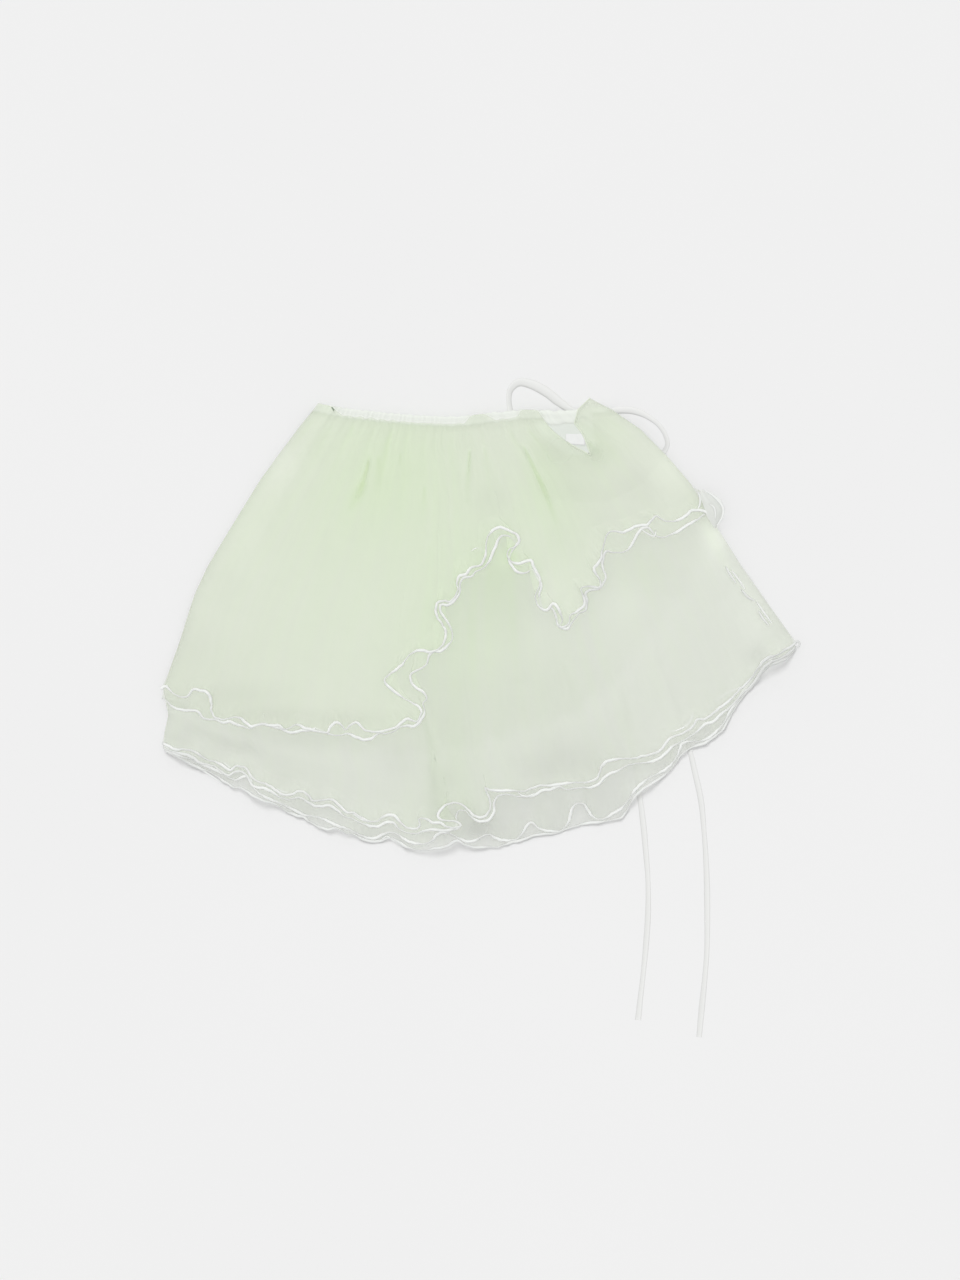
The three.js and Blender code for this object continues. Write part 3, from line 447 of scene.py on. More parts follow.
def settle(share, reach):
    """The upper layers sink to the floor past the hidden hem."""
    start = reach_of(HIDDEN_HEM, share) + SETTLE_AFTER
    end = reach_of(BACK_TABLE, share) - SETTLE_BEFORE
    return stack_height(UNDER_BACK_START, share) * smooth((reach - start) / (end - start))


def fold_rise(share, reach, across):
    """Height of the long soft folds at a place."""
    rise = np.zeros(np.shape(across))
    for fold_share, start, end, height, half in FOLDS:
        line_across, _ = place(fold_share, reach)
        beside = np.exp(-((across - line_across) / half) ** 2)
        middle = (start + end) / 2
        along = smooth(1.5 * (1 - np.abs(reach - middle) / ((end - start) / 2)))
        rise = rise + height * beside * along
    return rise


def crease_fields(creases, across, down):
    """Height, greenness, and the painted shade of the creases with a painted highlight beside
    them, at a place.
    """
    rise = np.zeros(np.shape(across))
    green = np.zeros(np.shape(across))
    shade = np.zeros(np.shape(across))
    for line, half, height, tint, dark, light in creases:
        gap, along = beside_line(line, across, down)
        strong = smooth(7 * along + 0.15) * (1 - 0.85 * smooth(1.15 * along - 0.15))
        wide = half * (0.55 + 1.3 * along)
        core = strong * np.exp(-(gap / wide) ** 2)
        rise = rise + height * strong * np.exp(-(gap / (1.6 * wide)) ** 2)
        green = green + tint * core
        # A painted highlight beside each crease, on its right.
        beyond = np.exp(-((gap + 2.2 * wide) / (1.3 * wide)) ** 2)
        shade = shade - dark * core + light * strong * beyond
    return rise, green, shade


def area_shade(areas, across, down):
    shade = np.zeros(np.shape(across))
    for middle_across, middle_down, wide, deep, amount in areas:
        far = ((across - middle_across) / wide) ** 2 + ((down - middle_down) / deep) ** 2
        shade = shade + amount * np.exp(-far)
    return shade


def sines(values, count, low, high, seed):
    """A smooth uneven line made of a few waves, between about -1 and 1."""
    rng = np.random.RandomState(seed)
    total = np.zeros(np.shape(values))
    for _ in range(count):
        rate = rng.uniform(low, high)
        phase = rng.uniform(0, 2 * math.pi)
        total = total + rng.uniform(0.5, 1) * np.sin(2 * math.pi * rate * values + phase)
    return total / math.sqrt(count)


def below_band(share, reach):
    return clamp(reach - reach_of(WAIST, share) - BAND_DEPTH, 0, FAR)


def gather_field(share, reach):
    """The fine gathers below the waist, uneven, fading down the cloth."""
    below = below_band(share, reach)
    fine = sines(share, 6, 26, 52, 5) * np.exp(-below / 38)
    wide = sines(share, 5, 9, 20, 6) * np.exp(-below / 120)
    return 0.42 * fine + 0.5 * wide


def spline(points, spacing):
    """Points along a smooth line through the given ones, evenly spaced."""
    points = np.array(points, float)
    padded = np.vstack([2 * points[0] - points[1], points, 2 * points[-1] - points[-2]])
    fine = []
    for index in range(len(points) - 1):
        a, b, c, d = padded[index:index + 4]
        for part in np.linspace(0, 1, 12, endpoint=False):
            square = part * part
            cube = square * part
            fine.append(0.5 * (
                2 * b + (c - a) * part + (2 * a - 5 * b + 4 * c - d) * square
                + (3 * b - a - 3 * c + d) * cube
            ))
    fine.append(points[-1])
    fine = np.array(fine)
    lengths = np.concatenate([[0], np.cumsum(np.linalg.norm(np.diff(fine, axis=0), axis=1))])
    count = max(2, int(round(lengths[-1] / spacing)) + 1)
    wanted = np.linspace(0, lengths[-1], count)
    return np.column_stack([np.interp(wanted, lengths, fine[:, axis]) for axis in range(2)])


def soften(values, width):
    """Values smoothed along a line with a bell of that many steps."""
    reach = int(3 * width)
    bell = np.exp(-(np.arange(-reach, reach + 1) / width) ** 2)
    padded = np.pad(values, reach, mode="edge")
    return np.convolve(padded, bell / bell.sum(), mode="valid")


def rising(values):
    """The nearest line that never falls: the mean of its running high and running low."""
    high = np.maximum.accumulate(values)
    low = np.minimum.accumulate(values[::-1])[::-1]
    return (high + low) / 2


def scene_point(across, down, height):
    return np.stack([
        (np.asarray(across) - FRAME_ACROSS) * MM,
        (FRAME_DOWN - np.asarray(down)) * MM,
        np.asarray(height) * MM,
    ], axis=-1)


def new_object(name, data):
    thing = bpy.data.objects.new(name, data)
    bpy.context.scene.collection.objects.link(thing)
    return thing


def mesh_piece(name, points, faces, material, **fields):
    """A mesh of points in metres; each field is a value stored at every point."""
    mesh = bpy.data.meshes.new(name)
    mesh.from_pydata(points.reshape(-1, 3).tolist(), [], faces)
    mesh.shade_smooth()
    for field, values in fields.items():
        layer = mesh.attributes.new(field, "FLOAT", "POINT")
        layer.data.foreach_set("value", np.ascontiguousarray(values, dtype=np.float32).ravel())
    mesh.materials.append(material)
    return new_object(name, mesh)


def grid_faces(rows, columns, closed=False):
    faces = []
    last = columns if closed else columns - 1
    for row in range(rows - 1):
        for column in range(last):
            following = (column + 1) % columns
            faces.append((
                row * columns + column,
                (row + 1) * columns + column,
                (row + 1) * columns + following,
                row * columns + following,
            ))
    return faces


def end_caps(count, sides):
    """The two faces that shut a strip of that many rings."""
    last = (count - 1) * sides
    return [tuple(range(sides)), tuple(range(last + sides - 1, last - 1, -1))]


def tube_piece(name, line, radius, material, shade):
    """A closed, slightly flat bead along a line of points, its radius given at each point."""
    tangents = np.gradient(line, axis=0)
    tangents /= np.linalg.norm(tangents, axis=1)[:, None]
    up = np.array([0.0, 0.0, 1.0])
    beside = np.cross(tangents, up)
    beside /= np.maximum(np.linalg.norm(beside, axis=1), 1e-9)[:, None]
    above = np.cross(beside, tangents)
    rings = []
    for turn in np.linspace(0, 2 * math.pi, BEAD_SIDES, endpoint=False):
        spoke = math.cos(turn) * beside + BEAD_FLAT * math.sin(turn) * above
        rings.append(line + radius[:, None] * spoke)
    faces = [face[::-1] for face in grid_faces(len(line), BEAD_SIDES, closed=True)]
    faces += end_caps(len(line), BEAD_SIDES)
    points = np.stack(rings, axis=1)
    piece = mesh_piece(name, points, faces, material, shade=np.repeat(shade, BEAD_SIDES))
    piece.visible_shadow = False
    return piece


def cloth_grid(hem_points, layer, top_reach, seed, look):
    """A ply's grid from its top edge to its traced hem, with the line of the hem itself."""
    spacing = look["spacing"]
    body_rows = look["rows"] - HEM_ROWS
    hem = spline(hem_points, spacing)
    count = len(hem)
    length = spacing * np.arange(count)
    flutter = sines(length / METRE, 5, 70, 150, seed + 40)
    run = np.gradient(hem, axis=0)
    run /= np.linalg.norm(run, axis=1)[:, None]
    sway = 0.22 * flutter * smooth(np.minimum(length, length[-1] - length) / 14)
    hem = hem + np.stack([-run[:, 1] * sway, run[:, 0] * sway], axis=1)
    hem_share, hem_reach = chart(hem[:, 0], hem[:, 1])
    share = soften(rising(hem_share), 3)
    share = (share - share[0]) / (share[-1] - share[0])
    share = 0.985 * share + 0.015 * np.arange(count) / (count - 1)
    window = 5
    padded = np.pad(hem_reach, window, mode="edge")
    least = np.min([padded[step:step + count] for step in range(2 * window + 1)], axis=0)
    inner = soften(least, 4) - HEM_BAND
    inner_across, inner_down = place(share, inner)
    top = top_reach(share)
    body = np.linspace(0, 1, body_rows) ** 0.9
    flat = [place(share, between(top, inner, part)) for part in body]
    hem_parts = np.linspace(0, 1, HEM_ROWS + 1)[1:]
    for part in hem_parts:
        eased = part ** 1.15
        flat.append((
            between(inner_across, hem[:, 0], eased),
            between(inner_down, hem[:, 1], eased),
        ))
    return {
        "layer": layer, "seed": seed, "hem": hem, "edge_share": share,
        "across": np.array([row[0] for row in flat]),
        "down": np.array([row[1] for row in flat]),
        "near_hem": np.concatenate([np.zeros(body_rows), hem_parts])[:, None],
        "body": np.concatenate([body, np.ones(HEM_ROWS)])[:, None],
        "overshoot": soften(hem_share - share, 2)[None, :] * 900,
        "ripple": np.tanh((hem_reach - soften(hem_reach, 7)) / 4)[None, :],
        "wander": sines(length / METRE, 6, 18, 46, seed)[None, :],
        "flutter": flutter[None, :],
    }


def layer_rise(layer, across, down):
    """A layer's middle height over the floor, without its own ripples."""
    share, reach = inside_chart(across, down)
    edge = smooth(calm(share))
    height = stack_height(layer, share) + WALL / 2 + tape_lift(across, down)
    if layer >= UNDER_BACK_START:
        height = height - settle(share, reach)
    if layer >= FRONT_START:
        rise = fold_rise(share, reach, across)
        rise = rise + crease_fields(UNDER_CREASES, across, down)[0]
        if layer >= OUTER_FRONT_START:
            rise = rise + crease_fields(OUTER_CREASES, across, down)[0]
        gathers = 1 + gather_field(share, reach)
        part = 0.6 if layer < OUTER_FRONT_START else 1
        height = height + edge * part * (rise + 0.65 * gathers)
    return height


# Where the lower hems stand off the floor: across, down, half width, half depth, height.
HEM_LIFTS = (
    (176, 760, 20, 14, 8), (256, 800, 26, 14, 8), (776, 668, 20, 18, 11), (442, 844, 34, 14, 9),
    (640, 790, 20, 14, 5), (340, 828, 20, 12, 5),
)


def raise_cloth(grid, wave):
    """Gives a grid its heights: the layer's own, then the ripples that grow to the hem."""
    across, down = grid["across"], grid["down"]
    share, reach = inside_chart(across, down)
    height = layer_rise(grid["layer"], across, down)
    edge = smooth(calm(grid["edge_share"]))[None, :]
    hem_part = grid["near_hem"]
    grown = hem_part ** 1.3
    crest = 0.5 - 0.5 * grid["ripple"] + 0.35 * grid["wander"] + 0.2 * grid["flutter"]
    lift = np.clip(crest, -0.15, 1.2) * wave + np.abs(grid["overshoot"]) * 0.10
    lower = smooth((grid["body"] - 0.45) / 0.55) * (1 - 0.55 * grown)
    drift = sines(share + 0.0004 * reach, 5, 8, 22, grid["seed"] + 3)
    height = height + edge * (grown * lift + 0.55 * lower * (1 + drift))
    if grid["layer"] < OUTER_FRONT_START:
        height = height + hem_part * area_shade(HEM_LIFTS, across, down)
    else:
        over_band = reach_of(WAIST, share) + BAND_DEPTH + 4 - reach
        height = height + OVER_BAND * smooth(over_band / 6)
    grid["height"] = np.maximum(height, 0.5)
    grid["share"] = share
    grid["reach"] = reach


# Soft green areas: across, down, half width, half depth, how green.
GREEN_AREAS = (
    (395, 470, 75, 75, 0.34), (345, 560, 110, 130, 0.16), (480, 610, 60, 90, 0.30),
    (545, 470, 28, 50, 0.22), (600, 450, 30, 40, 0.16), (440, 700, 50, 80, 0.16),
    (540, 680, 50, 70, 0.08), (450, 810, 60, 30, 0.10), (560, 560, 60, 60, 0.08),
    (502, 572, 22, 36, 0.28), (508, 556, 9, 9, 0.22), (570, 515, 24, 40, 0.10),
    (450, 770, 24, 50, 0.18), (540, 500, 24, 40, 0.12), (640, 570, 26, 24, 0.14),
    (665, 465, 26, 34, -0.20), (280, 458, 24, 26, -0.16), (540, 595, 24, 30, -0.14),
    (420, 700, 24, 20, -0.10), (755, 625, 24, 40, -0.10), (520, 542, 10, 14, -0.14),
)


# The sky's light passes through the front plies to the cloth below, so they are a little darker.
FRONT_LIGHT = 0.845


def cloth_colours(grid, look):
    """How green and how light each point is: areas, creases, gathers and the hem's ripples; the
    lightness carries painted shade and painted highlights with the cloth's uneven tone.
    """
    share, reach = grid["share"], grid["reach"]
    across, down = grid["across"], grid["down"]
    seed = grid["seed"]
    _, green, shade = crease_fields(look["creases"], across, down)
    below = below_band(share, reach)
    streaks = clamp(-gather_field(share, reach), 0, 2)
    streaks = streaks * np.exp(-below / 95) * smooth(below / 18)
    long_streaks = sines(share + 0.00012 * reach, 7, 14, 44, seed) * smooth(below / 60)
    fine_streaks = sines(share + 0.00005 * reach, 9, 50, 120, seed + 2)
    patches = sines(share * 1.7 + reach * 0.004, 5, 1, 5, seed + 9)
    tint = look["green_part"] * area_shade(GREEN_AREAS, across, down)
    tint = tint + 0.9 * green + 0.16 * streaks + 0.06 * long_streaks + 0.03 * patches
    near = grid["near_hem"]
    ripples = -0.5 * grid["ripple"] + 0.5 * grid["wander"] + 0.6 * grid["flutter"]
    shade = shade + area_shade(look["areas"], across, down)
    shade = shade + 0.008 * long_streaks + 0.003 * fine_streaks - 0.006 * streaks
    # Painted light and shade on the hem's ripples, painted shade near the hem and where the hem
    # folds back.
    shade = shade + 0.012 * ripples * near ** 1.5 - 0.020 * near ** 3
    shade = shade - 0.00035 * np.abs(grid["overshoot"]) * near
    # Painted shade along the side edges, and on the front plies along the top edge by the opening.
    left, right = edge_turns(reach)
    margin = np.minimum(share, 1 - share) * np.radians(right - left) * reach
    light = 1
    if grid["layer"] >= FRONT_START:
        light = FRONT_LIGHT
        by_opening = smooth((share - EVEN_END) / OPENING_SOFT)
        margin = np.minimum(margin, between(RIM_CLEAR, reach - reach[0], by_opening))
    for wide, dark in RIM_SHADES:
        shade = shade - dark * np.exp(-(margin / wide) ** 2)
    return tint, (1 + shade) * light


def start_material(name, roughness, specular):
    """A new material with its nodes, links and shader."""
    material = bpy.data.materials.new(name)
    material.use_nodes = True
    nodes = material.node_tree.nodes
    shader = nodes["Principled BSDF"]
    shader.inputs["Roughness"].default_value = roughness
    shader.inputs["Specular IOR Level"].default_value = specular
    return material, nodes, material.node_tree.links, shader


def noise_value(nodes, links, scale, detail):
    """Noise that stays with the object."""
    place_node = nodes.new("ShaderNodeTexCoord")
    noise = nodes.new("ShaderNodeTexNoise")
    noise.inputs["Scale"].default_value = scale
    noise.inputs["Detail"].default_value = detail
    links.new(place_node.outputs["Object"], noise.inputs["Vector"])
    return noise.outputs["Fac"]


def stored_value(nodes, field):
    """A value stored at the points of the mesh."""
    node = nodes.new("ShaderNodeAttribute")
    node.attribute_name = field
    return node.outputs["Fac"]


def ramp_colour(nodes, links, value, stops):
    """Colours over a value from 0 to 1; each stop has a position and a colour."""
    ramp = nodes.new("ShaderNodeValToRGB")
    elements = ramp.color_ramp.elements
    for element, (position, colour) in zip(elements, (stops[0], stops[-1])):
        element.position = position
        element.color = (*colour, 1)
    for position, colour in stops[1:-1]:
        elements.new(position).color = (*colour, 1)
    links.new(value, ramp.inputs["Fac"])
    return ramp.outputs["Color"]


def cloth_material(name, pale, green, deep, alpha, bump):
    """Cloth whose colour runs from pale to deep by the tint and shade stored on the mesh."""
    material, nodes, links, shader = start_material(name, 0.62, 0.25)
    shader.inputs["Alpha"].default_value = alpha
    shader.inputs["Sheen Weight"].default_value = 0.02
    shader.inputs["Sheen Roughness"].default_value = 0.4
    speckle = nodes.new("ShaderNodeMath")
    speckle.operation = "MULTIPLY_ADD"
    speckle.inputs[1].default_value = 0.05
    links.new(noise_value(nodes, links, 260, 4), speckle.inputs[0])
    links.new(stored_value(nodes, "tint"), speckle.inputs[2])
    stops = ((0, pale), (0.45, green), (1, deep))
    shaded = nodes.new("ShaderNodeVectorMath")
    shaded.operation = "SCALE"
    links.new(ramp_colour(nodes, links, speckle.outputs["Value"], stops), shaded.inputs[0])
    links.new(stored_value(nodes, "shade"), shaded.inputs["Scale"])
    links.new(shaded.outputs["Vector"], shader.inputs["Base Color"])
    surface = nodes.new("ShaderNodeBump")
    surface.inputs["Strength"].default_value = bump
    surface.inputs["Distance"].default_value = 0.0004
    links.new(noise_value(nodes, links, 900, 2), surface.inputs["Height"])
    links.new(surface.outputs["Normal"], shader.inputs["Normal"])
    return material


def plain_material(name, low, high, scale, roughness):
    """An even material whose colour drifts a little over the surface."""
    material, nodes, links, shader = start_material(name, roughness, 0.2)
    noise = noise_value(nodes, links, scale, 3)
    colour = ramp_colour(nodes, links, noise, ((0.3, low), (0.7, high)))
    links.new(colour, shader.inputs["Base Color"])
    return material


# Colours from pale to deep green, then the whites of thread, tape, curl and facing.
PALE = (0.885, 0.948, 0.792)
GREEN = (0.835, 0.968, 0.703)
DEEP = (0.68, 0.88, 0.46)
UNDER_PALE = (0.90, 0.945, 0.835)
BACK_PALE = (0.77, 0.80, 0.73)
BACK_GREEN = (0.72, 0.80, 0.62)
THREAD_PALE = (0.93, 0.945, 0.925)
THREAD_DEEP = (0.93, 0.945, 0.92)
TAPE_PALE = (0.845, 0.85, 0.835)
TAPE_DEEP = (0.86, 0.865, 0.85)
CURL_PALE = (0.78, 0.80, 0.765)
CURL_DEEP = (0.80, 0.82, 0.78)
FACING_PALE = (0.745, 0.785, 0.73)
FACING_DEEP = (0.84, 0.86, 0.82)

SHEER = 0.34
WEAVE_BUMP = 0.35
FINE_BUMP = 0.3

OUTER_CLOTH = cloth_material("outer_cloth", PALE, GREEN, DEEP, SHEER, WEAVE_BUMP)
OUTER_EDGE = cloth_material("outer_edge", PALE, GREEN, DEEP, 0.9, FINE_BUMP)
UNDER_CLOTH = cloth_material("under_cloth", UNDER_PALE, GREEN, DEEP, SHEER, WEAVE_BUMP)
BACK_CLOTH = cloth_material("back_cloth", BACK_PALE, BACK_GREEN, DEEP, SHEER, WEAVE_BUMP)
EDGE_THREAD = cloth_material("edge_thread", THREAD_PALE, THREAD_PALE, THREAD_DEEP, 0.92, FINE_BUMP)
TAPE_CLOTH = cloth_material("tape", TAPE_PALE, TAPE_DEEP, TAPE_DEEP, 1.0, FINE_BUMP)
CURL_CLOTH = cloth_material("curl_cloth", CURL_PALE, CURL_DEEP, CURL_DEEP, 0.85, FINE_BUMP)
FACING_CLOTH = cloth_material("facing", FACING_PALE, FACING_DEEP, FACING_DEEP, 1.0, FINE_BUMP)
LABEL_CLOTH = plain_material("label", (0.82, 0.83, 0.82), (0.86, 0.87, 0.86), 150, 0.6)
TACK = plain_material("tack", (0.16, 0.22, 0.15), (0.24, 0.30, 0.22), 300, 0.8)
FLOOR = plain_material("floor", (0.862, 0.862, 0.862), (0.874, 0.874, 0.874), 1.5, 0.9)
BAND_CLOTH = cloth_material("waist_elastic", (0.82, 0.845, 0.80), GREEN, DEEP, 1.0, 0.5)

# Where the front's cloth rides over the band: the middle across, the half width.
BAND_HUMPS = ((322, 17), (478, 11), (529, 12))


def hump_part(share):
    """How far the cloth covers the band at a share, from 0 to 1."""
    across, _ = place(share, reach_of(WAIST, share))
    part = np.zeros(np.shape(share))
    for middle, half in BAND_HUMPS:
        part = np.maximum(part, np.exp(-((across - middle) / half) ** 4))
    return part


def waist_reach(share):
    return reach_of(WAIST, share) + BAND_DEPTH - 3


def front_top_reach(share, cover=4.0):
    """The front's top edge: tucked over the band's lower part, and round the opening."""
    opening = np.interp(share, OPENING_EDGE[:, 0], OPENING_EDGE[:, 1])
    scallop = 0.6 * sines(share, 5, 14, 34, 3)
    under_band = reach_of(WAIST, share) + BAND_DEPTH - cover + scallop
    over_band = reach_of(WAIST, share) - BAND_TOP
    waist = between(under_band, over_band, hump_part(share))
    past = share - EVEN_END + OPENING_SOFT / 2
    return between(waist, opening, smooth(past / OPENING_SOFT))


def backing_top_reach(share):
    return front_top_reach(share, 2.4)


def attach(piece, slot, *nodes):
    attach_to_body(piece, "root")
    if nodes:
        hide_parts(*nodes)


# Where the rolled hems get painted shade: across, down, half width, half depth, amount.
HEM_SHADE_AREAS = (
    (778, 662, 34, 30, -0.13), (442, 838, 14, 12, -0.10), (190, 756, 24, 10, -0.08),
    (586, 596, 16, 20, -0.07), (318, 806, 30, 10, -0.05), (600, 548, 14, 22, -0.06),
)


def build_ply(name, node, hem_points, top_reach, seed, wave, look, layer, below):
    """One ply with its rolled hem, lying on the ply below it."""
    grid = cloth_grid(hem_points, layer, top_reach, seed, look)
    raise_cloth(grid, wave)
    points = scene_point(grid["across"], grid["down"], grid["height"])
    tint, shade = cloth_colours(grid, look)
    rows, columns = grid["across"].shape
    faces = grid_faces(rows, columns)
    piece = mesh_piece(name, points, faces, look["material"], tint=tint, shade=shade)
    piece.visible_shadow = layer == UNDER_BACK_START
    piece.visible_diffuse = layer < FRONT_START
    attach(piece, look["slot"], node)
    hem_line = points[-1].copy()
    hem_line[:, 2] = np.maximum(hem_line[:, 2], HEM_BEAD * MM)
    along = np.arange(columns) * look["spacing"] / METRE
    strong = smooth(0.55 + 0.62 * sines(along, 6, 10, 36, seed + 60))
    radius = HEM_BEAD * MM * (0.50 + 0.74 * strong)
    # Painted shade on the rolled hems in these areas.
    hem_shade = area_shade(HEM_SHADE_AREAS, grid["hem"][:, 0], grid["hem"][:, 1])
    light = HEM_LIGHT + 0.13 * strong + hem_shade
    bead = tube_piece(name + "_rolled_hem", hem_line, radius, EDGE_THREAD, light)
    bead.visible_shadow = layer == UNDER_BACK_START
    attach(bead, look["slot"])
    return grid


# Camera, straight above.
camera_data = bpy.data.cameras.new("camera")
camera_data.sensor_width = SENSOR
camera_data.lens = SENSOR * CAMERA_HEIGHT / VIEW_TALL
camera_data.clip_end = 20
camera = new_object("camera", camera_data)
camera.location = scene_point(VIEW_ACROSS, VIEW_DOWN, CAMERA_HEIGHT).tolist()
bpy.context.scene.camera = camera

# Tape lines: across, down, height of the middle, half width seen from above, tilt in degrees.
LOOP_LEFT_RIBBON = (
    (579.6, 416.8, 1.6, 2.6, 10), (570, 410.0, 2.4, 3.6, 8), (558, 401.5, 3.0, 4.6, 6),
    (547, 392.8, 3.4, 5.0, 4), (533, 385.2, 3.2, 4.8, 2), (520, 382.4, 3.0, 4.2, 6),
    (511.8, 388, 3.0, 3.2, 25), (509, 396, 3.0, 2.6, 40), (509.5, 406, 3.0, 2.6, 30),
    (513, 416, 2.6, 3.0, 10), (530, 424, 1.6, 3.0, 5), (555, 426, 1.4, 3.0, 5),
    (579.6, 423.4, 1.2, 2.6, 5),
)
LOOP_RIGHT_RIBBON = (
    (594.4, 416.8, 1.6, 2.6, 10), (606, 413.5, 2.2, 3.2, 8), (618, 410.4, 2.8, 3.6, 4),
    (630, 410.4, 3.0, 3.8, 2), (640, 413.0, 3.0, 3.4, 12), (648, 417, 3.0, 2.8, 25),
    (656, 422.6, 2.8, 2.5, 35), (662, 429.4, 2.8, 2.3, 40), (666.2, 438, 2.8, 2.3, 40),
    (667, 446, 2.6, 2.3, 35), (662, 453.6, 2.0, 2.8, 10), (654, 454, 1.6, 3.0, 5),
    (638, 445, 1.4, 3.0, 5), (618, 432, 1.4, 3.0, 5), (606, 425.5, 1.2, 2.8, 5),
    (594.4, 423.4, 1.2, 2.6, 5),
)
TAPE_SECTION = (
    (-1, -0.5), (-1, 0.5), (-0.5, 0.5), (0, 0.5), (0.5, 0.5), (1, 0.5), (1, -0.5),
    (0.5, -0.5), (0, -0.5), (-0.5, -0.5),
)
RIBBON_THICK = 0.9
RIBBON_SPACING = 2.0


def ribbon_piece(name, stations, middle, dark):
    """A flat tape through stations; the side towards the middle gets painted shade."""
    stations = np.array(stations, float)
    chain = spline(stations[:, :2], RIBBON_SPACING)
    gaps = np.linalg.norm(np.diff(stations[:, :2], axis=0), axis=1)
    marks = np.concatenate([[0], np.cumsum(gaps)])
    marks /= marks[-1]
    along = np.linspace(0, 1, len(chain))
    height, half, tilt = [soften(np.interp(along, marks, row), 2) for row in stations.T[2:]]
    slope = np.tan(np.radians(tilt))
    height = np.maximum(height, RIBBON_THICK / 2 + half * np.abs(slope) * 0.5)
    run = np.gradient(chain, axis=0)
    run /= np.linalg.norm(run, axis=1)[:, None]
    side = np.stack([-run[:, 1], run[:, 0]], axis=1)
    inward = (middle[0] - chain[:, 0]) * side[:, 0] + (middle[1] - chain[:, 1]) * side[:, 1]
    inward = np.sign(inward)
    rings, shades = [], []
    for wide, thick in TAPE_SECTION:
        offset = half * wide
        # Painted shade on the side towards the middle.
        shades.append(1 - dark * clamp((wide * inward + 0.5) / 1.5))
        across = chain[:, 0] + side[:, 0] * offset
        down = chain[:, 1] + side[:, 1] * offset
        lift = height + offset * slope * 0.5 + thick * RIBBON_THICK
        rings.append(scene_point(across, down, lift))
    sides = len(TAPE_SECTION)
    faces = grid_faces(len(chain), sides, closed=True)
    faces += [face[::-1] for face in end_caps(len(chain), sides)]
    points = np.stack(rings, axis=1)
    shade = np.stack(shades, axis=1)
    piece = mesh_piece(name, points, faces, TAPE_CLOTH, tint=0 * shade, shade=shade)
    centre = scene_point(chain[:, 0], chain[:, 1], height)
    length = float(np.linalg.norm(np.diff(centre, axis=0), axis=1).sum())
    return piece, centre, length


def tail_stations(line, cut):
    """The tail's line with its tape lying flat, a little narrower where it turns."""
    rows = []
    for index, (across, down) in enumerate(line):
        half = 2.7 + 0.35 * math.sin(1.9 * index + cut)
        tilt = 9 * math.sin(1.3 * index + 2 * cut)
        rows.append((across, down, 0.9, half, tilt))
    return rows


def add_tape(name, stations, node, middle, dark):
    piece, centre, length = ribbon_piece(name, stations, middle, dark)
    piece.visible_shadow = False
    piece.visible_diffuse = False
    attach(piece, "tape", node)


# Places that a run's side with painted shade faces.
LEFT_OF_TAILS = (500, 900)
IN_LOOP_LEFT = (530, 404)
IN_LOOP_RIGHT = (636, 436)
add_tape(
    "tail_left_tape", tail_stations(TAIL_LEFT_LINE, cut=0.4), "tail_left",
    LEFT_OF_TAILS, dark=0.10,
)
add_tape(
    "tail_right_tape", tail_stations(TAIL_RIGHT_LINE, cut=1.7), "tail_right",
    LEFT_OF_TAILS, dark=0.10,
)
add_tape(
    "loop_left_tape", LOOP_LEFT_RIBBON, "bow_loop_left", IN_LOOP_LEFT, dark=0.13,
)
add_tape(
    "loop_right_tape", LOOP_RIGHT_RIBBON, "bow_loop_right", IN_LOOP_RIGHT, dark=0.18,
)


def knot_piece():
    """The tied knot: a small flat lump with two wraps pressed into it."""
    rows, columns = 15, 28
    rise = math.pi * np.linspace(-0.5, 0.5, rows)[:, None]
    turn = np.linspace(0, 2 * math.pi, columns, endpoint=False)[None, :]
    wrap = 1 - 0.10 * np.cos(2 * turn + 0.6) ** 8 - 0.06 * np.cos(3 * turn)
    across = KNOT_AT[0] + KNOT_HALF[0] * wrap * np.cos(rise) * np.cos(turn)
    down = KNOT_AT[1] + KNOT_HALF[1] * wrap * np.cos(rise) * np.sin(turn)
    groove = 1 - 0.18 * np.exp(-((np.cos(turn) * np.cos(rise)) / 0.12) ** 2)
    points = scene_point(across, down, KNOT_HALF[2] * (1 + np.sin(rise) * groove))
    faces = grid_faces(rows, columns, closed=True)
    flat = np.ones((rows, columns))
    return mesh_piece("bow_knot_tape", points, faces, TAPE_CLOTH, tint=0 * flat, shade=flat)


attach(knot_piece(), "tape", "bow_knot")


def hidden_hem(less, phase):
    """The wavy hem of the outer tier's back, from its left edge to its right."""
    points = []
    for share in np.linspace(0, 1, 90):
        reach = np.interp(share, HIDDEN_HEM[:, 0], HIDDEN_HEM[:, 1]) - 4 - less
        reach += 3.2 * math.sin(2 * math.pi * (17 * share + phase))
        reach += 1.6 * math.sin(2 * math.pi * (29 * share + 2 * phase))
        across, down = place(share, reach)
        points.append((float(across), float(down)))
    return points


OUTER_LOOK = {
    "material": OUTER_CLOTH, "slot": "outer_cloth", "creases": OUTER_CREASES,
    "areas": OUTER_AREAS, "green_part": 1.0, "length": 0.44, "spacing": 2.2, "rows": 74,
}
UNDER_LOOK = {
    **OUTER_LOOK, "material": UNDER_CLOTH, "slot": "under_cloth", "creases": UNDER_CREASES,
    "areas": UNDER_AREAS, "green_part": 0.8, "length": 0.50,
}
BACK_LOOK = {
    **UNDER_LOOK, "material": BACK_CLOTH, "creases": BACK_CREASES, "areas": BACK_AREAS,
    "green_part": 0.3,
}
HIDDEN_LOOK = {
    **BACK_LOOK, "slot": "outer_cloth", "creases": (), "green_part": 0.2, "length": 0.40,
    "spacing": 3.4, "rows": 44,
}
